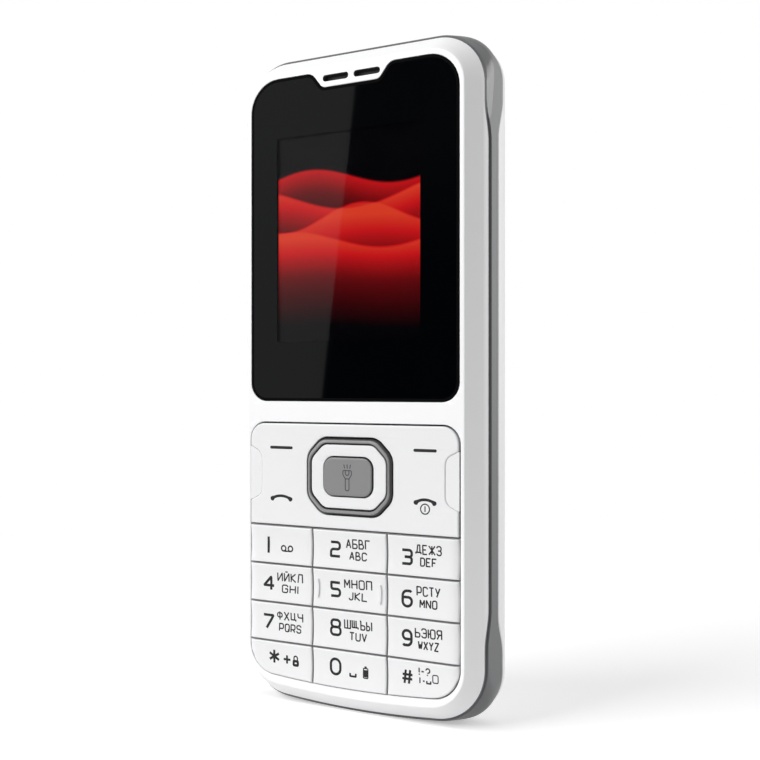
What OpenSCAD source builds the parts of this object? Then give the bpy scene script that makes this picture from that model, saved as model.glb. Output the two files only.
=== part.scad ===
/* [Body] */
// Width across the side band
body_w = 47; // [46:0.5:50]
// Height from the lowest point of the bowed bottom end to the top
body_h = 112; // [111.5:0.5:118]
// Radius of the front outline's upper corners
corner_top_r = 9.2; // [8.5:0.1:10]
// Radius of the front outline's lower corners
corner_low_r = 10; // [9:0.1:11]
// Radius of the back outline's corners
corner_back_r = 7.8; // [7:0.1:8.5]
// Radius of the bow along the bottom end
bow_r = 180; // [140:10:400]
// Wall thickness of the rear housing
wall = 1.3; // [1.1:0.1:1.5]

/* [Front housing] */
// Thickness of the front wall
front_t = 1.7; // [1.6:0.1:1.8]
// Inset of the flat face from the long sides
side_bevel = 2.4; // [2:0.1:2.6]
// Inset of the flat face from the two ends
end_bevel = 3; // [2.6:0.1:3.2]
// How far the bevel swells past a straight slope
bevel_swell = 0.1; // [0.05:0.05:0.2]
// Width of the rim that meets the band, along the sides
rim_w = 3; // [2.8:0.1:3.2]
// Outer radius of the screw bosses
boss_r = 1.4; // [1.3:0.1:1.6]

/* [Side band] */
// Depth below the front face where the band begins on the long sides
band_front = 3.9; // [3.6:0.1:4.2]
// Depth where the band ends on the long sides
band_back = 7.5; // [7.3:0.1:8]
// Depth where the flared ends of the band begin
cheek_front = 3.1; // [2.9:0.1:3.4]
// Depth where the flared ends of the band end
cheek_back = 9.2; // [8.9:0.1:9.4]
// Length of the flared end at the top
cheek_top = 11.6; // [10:0.2:13]
// Length of the flared end at the bottom
cheek_bottom = 13.1; // [11:0.2:14]
// Length over which the flare narrows to the band
flare_l = 6.2; // [5:0.2:8]
// How far the band stands out past the front housing at the ends
band_step = 0.4; // [0.2:0.1:0.6]
// Width of the groove along the front edge of the band
groove_w = 1; // [0.8:0.1:1.2]
// Depth of that groove
groove_d = 0.35; // [0.2:0.05:0.5]
// Depth over which the band widens from the front outline to the back one
swell_d = 2.5; // [2:0.1:3]

/* [Window and display] */
// Width of the window
window_w = 40.5; // [39:0.1:40.6]
// Distance from the top of the body down to the top edge of the window
window_drop = 3.9; // [3.7:0.1:4.5]
// Thickness of the window
window_t = 0.9; // [0.8:0.05:1]
// Corner radius at the top of the window
window_r_top = 5.6; // [4:0.2:6.2]
// Corner radius at the bottom of the window
window_r_bottom = 3.2; // [2:0.2:4]
// Width of the notch at the top edge
notch_w = 15.6; // [14.5:0.1:16.5]
// Width of the notch at its floor
notch_floor_w = 10.9; // [10.4:0.1:12]
// Depth of the notch
notch_h = 2.65; // [2.4:0.05:3]
// Rounding of the notch's corners
notch_r = 1; // [0.6:0.1:1.2]
// Gap round the window in its seat
window_gap = 0.08; // [0.05:0.01:0.15]
// Thickness of the adhesive under the window
adhesive_t = 0.1; // [0.05:0.01:0.15]
// Width of the picture area
display_w = 28.03; // [26:0.01:29]
// Distance from the top edge of the window down to the picture area
display_head = 10.41; // [9.4:0.01:12]
// Sideways offset of the picture area
display_x = -0.8; // [-1:0.1:1]
// Height of the picture area above the bottom of the window
display_rise = 10.2; // [9:0.1:11]
// Border of the display glass at its sides and top
glass_border = 1.7; // [1.4:0.1:2]
// Border of the display glass at its driver end
glass_foot = 4.5; // [4:0.1:5]
// Thickness of the display glass
glass_t = 1.2; // [1:0.1:1.4]
// Thickness of the backlight unit
backlight_t = 1.2; // [1:0.1:1.4]
// Border of the backlight unit outside the glass
backlight_border = 0.8; // [0.5:0.1:1]
// Thickness of the foam frame round the picture area
gasket_t = 0.2; // [0.15:0.05:0.3]
// Width of the foam frame
gasket_w = 1; // [0.6:0.1:1.4]
// Thickness of the display's flat lead
flex_t = 0.2; // [0.1:0.05:0.3]
// Width of the display's flat lead
flex_w = 12; // [8:0.5:16]
// Length of lead that shows below the backlight unit
flex_l = 3.5; // [2.5:0.5:3.5]

/* [Earpiece] */
// Length of one earpiece slot
slot_w = 4.7; // [4:0.1:5]
// Height of the slots
slot_h = 0.95; // [0.7:0.05:1.2]
// Gap between the two slots
slot_gap = 1.2; // [0.8:0.1:1.4]
// Distance of the slots below the top edge of the window
slot_drop = 1.2; // [1:0.1:1.4]
// Wall left in front of the earpiece mesh
ear_wall = 1; // [0.8:0.1:1.1]
// Width of the earpiece speaker
ear_w = 13; // [12.5:0.5:15]
// Height of the earpiece speaker
ear_h = 6.4; // [6:0.1:6.6]
// How far the earpiece speaker reaches above the middle of the slots
ear_rise = 1.2; // [1.1:0.05:1.3]
// Step from the rim of the earpiece speaker in to its cap
ear_step = 0.6; // [0.4:0.1:0.8]
// Height of the cap behind that rim
ear_cap_t = 0.6; // [0.4:0.1:0.8]
// Height of the pocket for the mesh behind the slots
pocket_h = 1.8; // [1.6:0.1:2]
// Width of the gasket's frame in that pocket
pocket_frame = 0.4; // [0.2:0.1:0.4]

/* [Keypad] */
// Width of the key opening
key_area_w = 40.4; // [39:0.1:40.6]
// Height of the lower edge of the key opening
key_bottom = 4.55; // [4.3:0.05:5]
// Height of the bottom row of keys
bottom_row_h = 6.5; // [6:0.05:7]
// Spacing of the other rows of number keys
row_pitch = 6.67; // [6.3:0.01:7]
// Height of the function plate
function_h = 17.85; // [17:0.05:19]
// Height of the bar between the keys and the window
bar_h = 3.55; // [3.4:0.05:4]
// Width of the middle column of keys
column_w = 14.5; // [13.5:0.1:15]
// Gap between keys and round them
key_gap = 0.2; // [0.15:0.01:0.25]
// Height of the keys above the front face
key_proud = 0.5; // [0.4:0.05:0.6]
// Thickness of the keys
key_t = 2; // [1.8:0.1:2.1]
// Depth of the hollow across each number key
key_dish = 0.25; // [0.1:0.05:0.3]
// Room under each key for its travel
press_gap = 0.3; // [0.28:0.01:0.4]
// Radius of the bow along the bottom row
key_bow_r = 200; // [150:10:400]
// Upper corner radius of the key opening
key_r_top = 3.1; // [2:0.1:4]
// Lower corner radius of the key opening
key_r_bottom = 5.2; // [4:0.1:6]
// Width of the shallow side tabs
tab_w = 2.35; // [2:0.05:3]
// Height of the side tabs at the edge
tab_h = 9.1; // [8:0.1:10]
// Height of the side tabs at their inner side
tab_inner_h = 5.1; // [4:0.1:6]
// Depth of the side tabs
tab_d = 0.25; // [0.15:0.05:0.4]

/* [Navigation key] */
// Width of the ring
nav_w = 16.65; // [16:0.05:17.5]
// Height of the ring
nav_h = 13.05; // [12.5:0.05:13.5]
// Width of the white pad inside the ring
pad_w = 14.45; // [14:0.05:15]
// Height of the white pad
pad_h = 10.6; // [10.2:0.05:11]
// Length cut off each corner of the ring
nav_cut = 2.9; // [2.4:0.1:3.3]
// Rounding of the ring's corners
nav_r = 2.2; // [1.5:0.1:2.5]
// Length cut off each corner of the pad
pad_cut = 2.4; // [2:0.1:2.8]
// Rounding of the pad's corners
pad_r = 1.75; // [1.2:0.05:2]
// Width of the centre key
centre_w = 9.6; // [9:0.1:10]
// Height of the centre key
centre_h = 6.9; // [6.5:0.1:7.2]
// Corner radius of the centre key
centre_r = 1.8; // [1:0.1:2.5]
// Height of the pad above the front face
pad_proud = 0.6; // [0.55:0.05:0.65]
// Height of the ring above the front face
ring_proud = 0.75; // [0.7:0.05:0.85]
// Height of the centre key above the front face
centre_proud = 0.9; // [0.8:0.05:1]

/* [Key rubber and domes] */
// Thickness of the rubber sheet
rubber_t = 0.5; // [0.4:0.05:0.6]
// Height of the number keypad's feet on the dome film
rubber_foot = 0.4; // [0.35:0.01:0.45]
// Distance of the keypad rubber above the lower edge of the key opening
rubber_rise = 2; // [1.5:0.1:2.5]
// Distance of the dome film above the lower edge of the key opening
film_rise = 1; // [0.5:0.1:1.5]
// Width of the foot along the keypad rubber's edge
foot_w = 0.8; // [0.5:0.1:1]
// Radius of the posts under the number keys
number_post_r = 2.4; // [1.5:0.1:2.6]
// Radius of the posts under the function plate
function_post_r = 1.9; // [1.4:0.1:2.2]
// Radius of the pips that press the domes
pip_r = 1.2; // [0.8:0.1:1.4]
// Radius of the posts and pips under the navigation pad
nav_pip_r = 0.8; // [0.6:0.1:1]
// Distance of the side pips inside the ends of the pad
nav_pip_x = 1.2; // [1:0.1:1.4]
// Distance of the upper and lower pips inside the edges of the pad
nav_pip_z = 0.4; // [0.3:0.05:0.6]
// Rim of the navigation rubber under the centre key
nav_rim = 1.2; // [1:0.1:1.5]
// Clearance of the rocking pips above the dome film
pip_gap = 0.2; // [0.18:0.01:0.25]
// Gap between the three rubbers, and round the screw bosses
rubber_gap = 0.4; // [0.3:0.05:0.5]
// Radius of the metal domes
dome_r = 2; // [1.5:0.1:2.2]
// Radius of the flat top of those domes
dome_top_r = 1.2; // [0.8:0.1:1.4]
// Radius of the domes under the navigation pad
nav_dome_r = 1.2; // [1:0.1:1.3]
// Radius of the flat top of the navigation domes
nav_dome_top_r = 0.8; // [0.5:0.1:0.9]
// Height of the metal domes
dome_h = 0.2; // [0.15:0.05:0.3]
// Thickness of the dome film
film_t = 0.1; // [0.05:0.01:0.15]
// Sideways distance of the four function domes
function_dome_x = 14; // [13:0.1:14.5]
// Distance of the function domes above and below the middle
function_dome_z = 4.3; // [4:0.1:5]

/* [Board] */
// Thickness of the main board
board_t = 0.9; // [0.8:0.05:1]
// Clearance of the board inside the front housing
board_gap = 0.3; // [0.2:0.05:0.4]
// Room behind the board for its parts
part_room = 1.6; // [1.55:0.05:1.8]
// Depth of the shields on the board
shield_d = 1.3; // [1:0.05:1.4]
// Sheet thickness of the shields
shield_t = 0.2; // [0.15:0.05:0.3]
// Distance of the processor shield above the lower end of the battery
cpu_rise = 5; // [4:0.5:8]
// Width of the radio shield
rf_w = 12; // [10:0.5:13]
// Height of the radio shield
rf_h = 12; // [10:0.5:13]
// Sideways distance of the radio shield from the middle
rf_x = 3; // [2.5:0.5:4]
// Distance of the radio shield below the top of the body
rf_drop = 10; // [9.5:0.5:12]
// Depth of the card sockets on the board
socket_d = 1.5; // [1.3:0.05:1.5]
// Side wall of the card sockets
socket_wall = 0.6; // [0.4:0.1:0.8]
// Base of the card sockets
socket_base = 0.5; // [0.4:0.05:0.6]
// Sheet that covers the card sockets
socket_roof = 0.25; // [0.15:0.05:0.3]
// Height of the SIM sockets
sim_h = 17; // [15:0.5:17.5]
// Gap between the two SIM sockets
sim_gap = 1.6; // [1.2:0.1:2]
// Distance of the SIM sockets below the upper end of the battery
sim_drop = 1; // [0.6:0.1:2]
// Width of the memory card socket
card_w = 14.4; // [13:0.1:15]
// Height of the memory card socket
card_h = 15; // [13:0.5:15.5]
// Distance between the sockets and shields in the battery bay
part_gap = 2.5; // [2:0.1:3]
// Distance of the sockets inside the battery bay's walls
bay_margin = 0.3; // [0.25:0.05:0.5]
// Gap round the sockets in the openings of the floor
opening_gap = 0.2; // [0.1:0.05:0.24]
// Width of the battery connector
contact_w = 10; // [9:0.5:12]
// Height of the battery connector
contact_h = 2.9; // [2.5:0.1:3.2]
// Reach of the battery connector past the front of the battery
contact_d = 2.6; // [2.4:0.1:3]
// Width of one spring contact
spring_w = 1; // [0.8:0.1:1.2]
// Spacing of the spring contacts
spring_pitch = 3; // [2.5:0.1:3.2]
// Depth of one spring contact
spring_d = 1.2; // [1:0.1:1.4]
// Reach of the spring contacts out of the connector
spring_l = 0.6; // [0.4:0.1:0.8]
// Gap between the spring contacts and the battery
spring_gap = 0.15; // [0.1:0.01:0.2]

/* [Rear housing and battery] */
// Thickness of the floor of the rear housing
floor_t = 0.8; // [0.7:0.05:1]
// Distance of the battery from the sides of the body
battery_margin = 6.5; // [6.3:0.1:8]
// Distance of the upper end of the battery below the top of the body
battery_head = 38.7; // [38:0.1:43]
// Thickness of the battery
battery_t = 4.7; // [4.4:0.1:5.2]
// Corner radius of the battery
battery_r = 1.5; // [1:0.1:2]
// Gap between the battery and the floor
battery_seat = 0.2; // [0.1:0.05:0.3]
// Height of the lower end of the battery
battery_z = 23.3; // [23:0.1:24]
// Gap round the battery
bay_gap = 0.3; // [0.2:0.05:0.4]
// Wall thickness of the battery bay
bay_wall = 0.9; // [0.7:0.1:1]
// Distance of the bay's edge in front of the back of the battery
bay_drop = 0.5; // [0.3:0.1:2]
// Gap between battery and cover
cover_room = 0.3; // [0.25:0.05:0.5]
// Thickness of the battery cover
cover_t = 1.2; // [1:0.05:1.4]
// Rounding of the back edge
back_r = 4; // [3.5:0.1:4.2]
// Gap at the seam between cover and rear housing
cover_gap = 0.1; // [0.08:0.01:0.2]
// Gap between the inner lip and the cover
lip_gap = 0.3; // [0.25:0.05:0.4]
// Thickness of the inner lip
lip_t = 0.8; // [0.7:0.05:1]
// Height of the inner lip past the seam
lip_h = 1; // [0.8:0.1:1.2]
// Width of the nail notch in the cover's lower edge
nail_w = 12; // [8:0.5:14]
// Depth of the nail notch
nail_d = 0.9; // [0.6:0.1:1.2]
// Thickness of the antenna
antenna_t = 0.2; // [0.1:0.05:0.3]
// Height of the antenna's lower edge
antenna_z = 6.6; // [6:0.1:7]
// Distance of the antenna's upper edge below the battery
antenna_drop = 6; // [5.5:0.1:7]
// Width of the slots that fold the antenna
antenna_slot = 2.4; // [2:0.1:2.8]
// Spacing of those slots
antenna_pitch = 5; // [4.5:0.1:5.5]
// Width of the antenna's strips
antenna_strip = 2; // [1.5:0.1:2.5]

/* [Sockets] */
// Radius of the headset bore
jack_r = 1.8; // [1.75:0.05:1.85]
// Length of the headset bore
jack_l = 12; // [11:0.5:13]
// Wall of the headset socket
jack_wall = 0.8; // [0.7:0.05:0.9]
// Wall at the inner end of the headset socket
jack_end = 1; // [0.8:0.1:1.2]
// Distance from the headset bore's edge to the edge of the wider hole in front of it
plug_gap = 0.6; // [0.5:0.05:0.65]
// Distance of the charging socket's mouth inside the bottom end
socket_inset = 0.4; // [0.3:0.05:0.5]
// Distance of the two sockets from the middle
socket_x = 6.9; // [6.7:0.05:7.2]
// Outer width of the charging socket
usb_w = 7.5; // [7.3:0.1:7.7]
// Outer height of the charging socket
usb_h = 2.6; // [2.4:0.05:2.7]
// Length of the charging socket
usb_l = 5; // [4.5:0.1:5.5]
// Sheet thickness of the charging socket
usb_t = 0.3; // [0.2:0.05:0.35]
// Thickness of the wall at the charging socket's inner end
usb_end = 0.8; // [0.6:0.1:1]
// Width of the contact tongue in the charging socket
tongue_w = 3.5; // [3:0.1:4.5]
// Thickness of that tongue
tongue_t = 0.6; // [0.4:0.05:0.7]
// Gap round the sockets in the band
socket_gap = 0.1; // [0.08:0.01:0.15]
// Radius of the microphone
mic_r = 2; // [1.8:0.1:2.2]
// Height of the microphone
mic_h = 1.4; // [1.2:0.05:1.5]
// Radius of the microphone's sound hole
mic_hole_r = 0.5; // [0.4:0.05:0.6]
// Wall of the rubber boot round the sound hole
boot_wall = 0.8; // [0.6:0.1:1]

/* [Loudspeaker, motor and torch] */
// Radius of the loudspeaker
speaker_r = 7.5; // [7:0.1:8]
// Thickness of the loudspeaker
speaker_t = 3.2; // [2.8:0.1:3.6]
// Thickness of the loudspeaker's basket
basket_t = 2.2; // [2:0.1:2.6]
// Step from the basket in to the loudspeaker's front
speaker_step = 0.8; // [0.6:0.1:1]
// Wall of the ring that holds the loudspeaker
speaker_wall = 1; // [0.8:0.1:1.2]
// Gap round the loudspeaker in that ring
speaker_gap = 0.1; // [0.05:0.01:0.15]
// Distance of that ring's edge in front of the back of the battery
ring_drop = 0.2; // [0.1:0.05:0.5]
// Sideways place of the loudspeaker
speaker_x = -8; // [-9:0.5:-7]
// Distance of the loudspeaker below the top of the body
speaker_drop = 22; // [21:0.5:23]
// Thickness of the mesh on the loudspeaker
mesh_t = 0.2; // [0.15:0.05:0.3]
// Number of sound slots in the cover
grille_n = 5; // [3:1:7]
// Width of one sound slot
grille_w = 0.9; // [0.7:0.1:1.1]
// Length of one sound slot
grille_l = 9; // [7:0.5:10]
// Spacing of the sound slots
grille_pitch = 2; // [1.6:0.1:2.2]
// Radius of the vibration motor
motor_r = 2; // [1.8:0.1:2.1]
// Sideways place of the vibration motor's inner end
motor_x = 5.5; // [5:0.1:6]
// Distance of the motor's axis below the top of the body
motor_drop = 26; // [25:0.5:28]
// Gap between the motor and what lies round it
motor_gap = 0.4; // [0.3:0.05:0.5]
// Length of the vibration motor
motor_l = 7; // [6:0.5:8]
// Length of the motor's weight
weight_l = 3; // [2.5:0.1:3.5]
// Radius of the motor's weight
weight_r = 1.75; // [1.6:0.05:1.75]
// Radius of the motor's shaft
shaft_r = 0.4; // [0.35:0.05:0.5]
// Running clearance of the motor's shaft
shaft_gap = 0.05; // [0.04:0.01:0.08]
// Gap between the weight and the motor
weight_gap = 0.3; // [0.2:0.05:0.4]
// Radius of the torch lens
torch_r = 2.4; // [2:0.1:2.4]
// Depth of the torch lens's axis below the front face
torch_d = 6.2; // [6.2:0.1:6.4]
// Width of the flange that holds the torch lens
torch_flange = 0.6; // [0.5:0.05:0.7]
// Length of the torch lens inside the wall
torch_l = 1; // [0.8:0.1:1.2]
// Width of the torch's light-emitting diode
led_w = 2.8; // [2.4:0.1:3.2]
// Length of that diode
led_l = 2; // [1.6:0.1:2.4]
// Distance of that diode inside the edge of the board
led_inset = 0.2; // [0.1:0.05:0.4]

/* [Screws] */
// Radius of the screws
screw_r = 0.7; // [0.6:0.05:0.75]
// Radius of the screw heads
head_r = 1.25; // [1.1:0.05:1.3]
// Height of the screw heads
head_h = 0.7; // [0.6:0.05:0.9]
// Radius of the six-sided recess in the screw heads
hex_r = 0.55; // [0.4:0.05:0.65]
// Depth of that recess
hex_d = 0.35; // [0.2:0.05:0.5]
// Gap round the screw heads
head_gap = 0.15; // [0.1:0.01:0.2]
// Distance between the screw's tip and the end of its hole
tip_gap = 0.3; // [0.2:0.05:0.5]
// Distance between the front wall and the end of the screw holes
hole_floor = 0.3; // [0.2:0.05:0.5]
// Distance of the side screws from the sides of the body
screw_inset = 3.6; // [3.4:0.05:3.7]
// Distance of the upper screws from the sides of the body
top_screw_inset = 6; // [5.9:0.1:6.5]
// Distance of the upper screws below the top
top_screw_drop = 6.7; // [6.5:0.1:7.2]
// Height of the lower screws
low_screw_z = 13; // [12.5:0.1:15]

/* [Hidden] */
$fn = 48;
arc_n = 8;
bow_n = 6;
flare_n = 8;
back_n = 5;
tiny = 0.02;
over = 1;

// Depths below the front face, from the window back to the cover
seat_t = window_t + adhesive_t;
lcd_front = window_t + gasket_t;
backlight_front = lcd_front + glass_t;
flex_front = backlight_front + backlight_t;
board_front = flex_front + flex_t;
board_back = board_front + board_t;
floor_front = board_back + part_room;
floor_back = floor_front + floor_t;
battery_front = floor_back + battery_seat;
battery_back = battery_front + battery_t;
cover_inner = battery_back + cover_room;
body_d = cover_inner + cover_t;

// Heights of the key rows, the window and the display
number_top = key_bottom + bottom_row_h + 3 * row_pitch;
key_top = number_top + function_h;
nav_z = (number_top + key_top) / 2;
window_bottom = key_top + bar_h;
window_top = body_h - window_drop;
display_z = window_bottom + display_rise;
display_h = window_top - display_head - display_z;
slot_z = window_top - slot_drop;
glass_x0 = display_x - display_w / 2 - glass_border;
glass_x1 = display_x + display_w / 2 + glass_border;
glass_z0 = display_z - glass_foot;
glass_z1 = display_z + display_h + glass_border;

// Depths of the rubber under the keys
film_front = board_front - dome_h - film_t;
rubber_back = film_front - rubber_foot;
rubber_front = rubber_back - rubber_t;
key_back = key_t - key_proud;
rubber_top = key_back + press_gap;
screw_x = body_w / 2 - screw_inset;
top_screw_x = body_w / 2 - top_screw_inset;
rubber_half_w = screw_x - boss_r - rubber_gap;

// Board and housing outlines
rim_end = end_bevel;
board_inset = rim_w + board_gap;
battery_w = body_w - 2 * battery_margin;
battery_top = body_h - battery_head;
bay_half_w = battery_w / 2 + bay_gap;
bay_bottom = battery_z - bay_gap;
bay_top = battery_top + bay_gap;
part_x = bay_half_w - bay_margin;
sim_top = battery_top - sim_drop;
sim_z = sim_top - sim_h;
card_top = sim_z - part_gap;
contact_top = battery_z - spring_gap - spring_l;
lip_inset = cover_t + lip_gap;
mid_screw_z = key_top + bar_h / 2;
jack_d = board_front + jack_r + jack_wall;
jack_half = jack_r + jack_wall + socket_gap;
jack_z = wall + board_gap;
jack_top = jack_z + jack_l + jack_end;
usb_z = socket_inset + usb_t;
speaker_z = body_h - speaker_drop;
motor_z = body_h - motor_drop;
motor_d = board_back + motor_r + shaft_gap;
mic_z = board_inset + mic_r;
boss_hole_r = screw_r + tiny;

SCREWS = [
    [top_screw_x, body_h - top_screw_drop],
    [-top_screw_x, body_h - top_screw_drop],
    [screw_x, mid_screw_z],
    [-screw_x, mid_screw_z],
    [screw_x, low_screw_z],
    [-screw_x, low_screw_z]
];

// Points of an arc about a centre, from one angle to another
function arc(x, z, r, a0, a1, n) =
    [for (i = [0:n]) [x + r * cos(a0 + (a1 - a0) * i / n), z + r * sin(a0 + (a1 - a0) * i / n)]];

// Outline with straight sides and top, round corners and a bowed bottom edge
function bowed(half_w, bottom, top, r_bottom, r_top, bow) =
    let (cx = half_w - r_bottom)
    let (reach = bow - r_bottom)
    let (cz = bottom + bow - sqrt(reach * reach - cx * cx))
    let (turn = asin(cx / reach))
    concat(
        arc(half_w - r_top, top - r_top, r_top, 0, 90, arc_n),
        arc(r_top - half_w, top - r_top, r_top, 90, 180, arc_n),
        arc(-cx, cz, r_bottom, 180, 270 - turn, arc_n),
        [for (i = [1:bow_n - 1]) let (a = 270 - turn + 2 * turn * i / bow_n)
            [bow * cos(a), bottom + bow + bow * sin(a)]],
        arc(cx, cz, r_bottom, 270 + turn, 360, arc_n)
    );

// Body outline drawn in by one distance at the sides and another at the ends, with the front
// outline's corners at a share of 0 and the back outline's fuller corners at 1
function body_ring(side, end, share) =
    let (in = (side + end) / 2)
    let (low = corner_low_r + (corner_back_r - corner_low_r) * share - in)
    let (top = corner_top_r + (corner_back_r - corner_top_r) * share - in)
    bowed(body_w / 2 - side, end, body_h - end, low, top, bow_r - end);

// Outline of the key opening, drawn in by a gap
function key_ring(gap) =
    bowed(key_area_w / 2 - gap, key_bottom + gap, key_top - gap, key_r_bottom - gap,
        key_r_top - gap, key_bow_r - gap);

function unit(v) = v / norm(v);

// Arc that rounds the corner at b between a and c
function fillet(a, b, c, r) =
    let (u = unit(a - b), w = unit(c - b), half = acos(u * w) / 2)
    let (m = b + unit(u + w) * r / sin(half))
    let (p = b + u * r / tan(half) - m, q = b + w * r / tan(half) - m)
    let (a0 = atan2(p[1], p[0]), sweep = atan2(p[0] * q[1] - p[1] * q[0], p * q))
    arc(m[0], m[1], r, a0, a0 + sweep, arc_n);

// Polygon with its own radius at each corner
function rounded(pts, radii) =
    let (n = len(pts))
    [for (i = [0:n - 1]) each fillet(pts[(i + n - 1) % n], pts[i], pts[(i + 1) % n], radii[i])];

// Rectangle about a point with equal corner radii
function round_rect(x, z, w, h, r) =
    rounded([[x + w / 2, z - h / 2], [x + w / 2, z + h / 2], [x - w / 2, z + h / 2],
        [x - w / 2, z - h / 2]], [r, r, r, r]);

// Rectangle about a point with its corners cut off and rounded
function octagon(x, z, w, h, cut, r) =
    let (a = w / 2, b = h / 2)
    rounded([[x + a, z - b + cut], [x + a, z + b - cut], [x + a - cut, z + b], [x - a + cut, z + b],
        [x - a, z + b - cut], [x - a, z - b + cut], [x - a + cut, z - b], [x + a - cut, z - b]],
        [r, r, r, r, r, r, r, r]);

// Window outline with the notch in its top edge, drawn in by a gap
function window_ring(gap) =
    let (a = window_w / 2 - gap, top = window_top - gap, bottom = window_bottom + gap)
    let (n = notch_w / 2 + gap, f = notch_floor_w / 2 + gap, deep = top - notch_h)
    rounded([[a, bottom], [a, top], [n, top], [f, deep], [-f, deep], [-n, top], [-a, top], [-a, bottom]],
        [window_r_bottom, window_r_top, notch_r, notch_r, notch_r, notch_r, window_r_top, window_r_bottom]);

// Inset of the front housing at a depth, along the sides and at the ends
function side_inset(t) =
    let (u = min(t / band_front, 1))
    side_bevel * (1 - u) - bevel_swell * sin(180 * u);
function end_inset(t) = band_step + (end_bevel - band_step) * max(0, 1 - t / cheek_front);

// Depth of a seam at a height: one value along the sides, another at the flared ends
function ease(u) = let (v = min(max(u, 0), 1)) v * v * (3 - 2 * v);
function seam(z, mid, end) =
    let (up = ease((z - body_h + cheek_top + flare_l) / flare_l))
    let (down = ease((cheek_bottom + flare_l - z) / flare_l))
    mid + (end - mid) * (up + down);
SEAM_Z = concat(
    [-over],
    [for (i = [0:flare_n]) cheek_bottom + flare_l * i / flare_n],
    [for (i = [0:flare_n]) body_h - cheek_top - flare_l + flare_l * i / flare_n],
    [body_h + over]
);

// Shifts everything so that the depth is centred on the origin
module place() {
    translate([0, -(body_d - centre_proud) / 2, 0]) children();
}

// Outline in X and Z carried from one depth to another
module slab(from, to) {
    translate([0, to, 0]) rotate([90, 0, 0]) linear_extrude(to - from) children();
}

// Box between two corners
module block(x0, x1, y0, y1, z0, z1) {
    translate([x0, y0, z0]) cube([x1 - x0, y1 - y0, z1 - z0]);
}

// Cylinder along the depth
module peg(x, z, r, from, to) {
    translate([x, to, z]) rotate([90, 0, 0]) cylinder(r = r, h = to - from);
}

// Cylinder along the height
module post(x, y, r, from, to) {
    translate([x, y, from]) cylinder(r = r, h = to - from);
}

// Solid between body outlines at several depths, each given as depth, side inset, end inset and share
module loft(levels) {
    rings = [for (l = levels) body_ring(l[1], l[2], l[3])];
    n = len(rings[0]);
    last = len(levels) - 1;
    points = [for (i = [0:last]) for (p = rings[i]) [p[0], levels[i][0], p[1]]];
    sides = [for (i = [0:last - 1]) for (j = [0:n - 1]) let (k = (j + 1) % n)
        each [[i * n + j, i * n + k, (i + 1) * n + k], [i * n + j, (i + 1) * n + k, (i + 1) * n + j]]];
    polyhedron(points, concat([[for (j = [n - 1:-1:0]) j]], sides, [[for (j = [0:n - 1]) last * n + j]]));
}

// Space between two seams across the whole width
module between(front_mid, front_end, back_mid, back_end) {
    front = [for (z = SEAM_Z) [seam(z, front_mid, front_end), z]];
    back = [for (i = [len(SEAM_Z) - 1:-1:0]) [seam(SEAM_Z[i], back_mid, back_end), SEAM_Z[i]]];
    translate([-body_w, 0, 0]) rotate([90, 0, 90]) linear_extrude(2 * body_w) polygon(concat(front, back));
}

// Frame between an outer and an inner box, from one depth to another
module frame(x0, x1, z0, z1, border, from, to) {
    difference() {
        block(x0, x1, from, to, z0, z1);
        block(x0 + border, x1 - border, from - over, to + over, z0 + border, z1 - border);
    }
}

// Open box of thin sheet, its mouth on the board
module can(x0, x1, z0, z1) {
    difference() {
        block(x0, x1, board_back, board_back + shield_d, z0, z1);
        block(x0 + shield_t, x1 - shield_t, board_back - over, board_back + shield_d - shield_t,
            z0 + shield_t, z1 - shield_t);
    }
}

// Card socket on the board, open at its upper end
module tray(x0, x1, z0, z1) {
    difference() {
        block(x0, x1, board_back, board_back + socket_d, z0, z1);
        block(x0 + socket_wall, x1 - socket_wall, board_back + socket_base,
            board_back + socket_d - socket_roof, z0 + socket_wall, z1 + over);
    }
}

// Opening in the floor round something that stands on the board
module opening(x0, x1, z0, z1, gap) {
    block(x0 - gap, x1 + gap, 0, body_d, z0 - gap, z1 + gap);
}

module front_housing() {
    shell_back = band_front + over;
    color("white") place() {
        difference() {
            intersection() {
                loft([for (t = [0, cheek_front / 2, cheek_front, band_front, shell_back])
                    [t, side_inset(t), end_inset(t), 0]]);
                between(-over, -over, band_front, cheek_front);
            }
            difference() {
                slab(front_t, shell_back + over) polygon(body_ring(rim_w, rim_end, 0));
                for (s = SCREWS) peg(s[0], s[1], boss_r, 0, board_front);
            }
            slab(-over, seat_t) polygon(window_ring(0));
            block(glass_x0 - window_gap, glass_x1 + window_gap, 0, front_t + over,
                glass_z0 - window_gap, glass_z1 + window_gap);
            slab(-over, front_t + over) polygon(key_ring(0));
            for (s = [-1, 1]) slab(-over, front_t + over)
                polygon(round_rect(s * (slot_gap + slot_w) / 2, slot_z, slot_w, slot_h, slot_h / 2 - tiny));
            block(-ear_w / 2, ear_w / 2, ear_wall, front_t + over, slot_z - pocket_h / 2,
                slot_z + pocket_h / 2);
            for (s = SCREWS) peg(s[0], s[1], boss_hole_r, front_t + hole_floor, board_front + over);
        }
    }
}

module display_window() {
    color("black") place() slab(0, window_t) polygon(window_ring(window_gap));
}

module window_adhesive() {
    color("dimgray") place() difference() {
        slab(window_t, seat_t) polygon(window_ring(window_gap));
        block(glass_x0 - window_gap, glass_x1 + window_gap, 0, front_t, glass_z0 - window_gap,
            glass_z1 + window_gap);
    }
}

module display_gasket() {
    color("dimgray") place()
        frame(glass_x0, glass_x1, glass_z0, glass_z1, gasket_w, window_t, lcd_front);
}

module lcd_glass() {
    color("crimson") place() block(glass_x0, glass_x1, lcd_front, backlight_front, glass_z0, glass_z1);
}

module backlight_unit() {
    color("ivory") place() block(glass_x0 - backlight_border, glass_x1 + backlight_border, backlight_front,
        flex_front, glass_z0 - backlight_border, glass_z1 + backlight_border);
}

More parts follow.
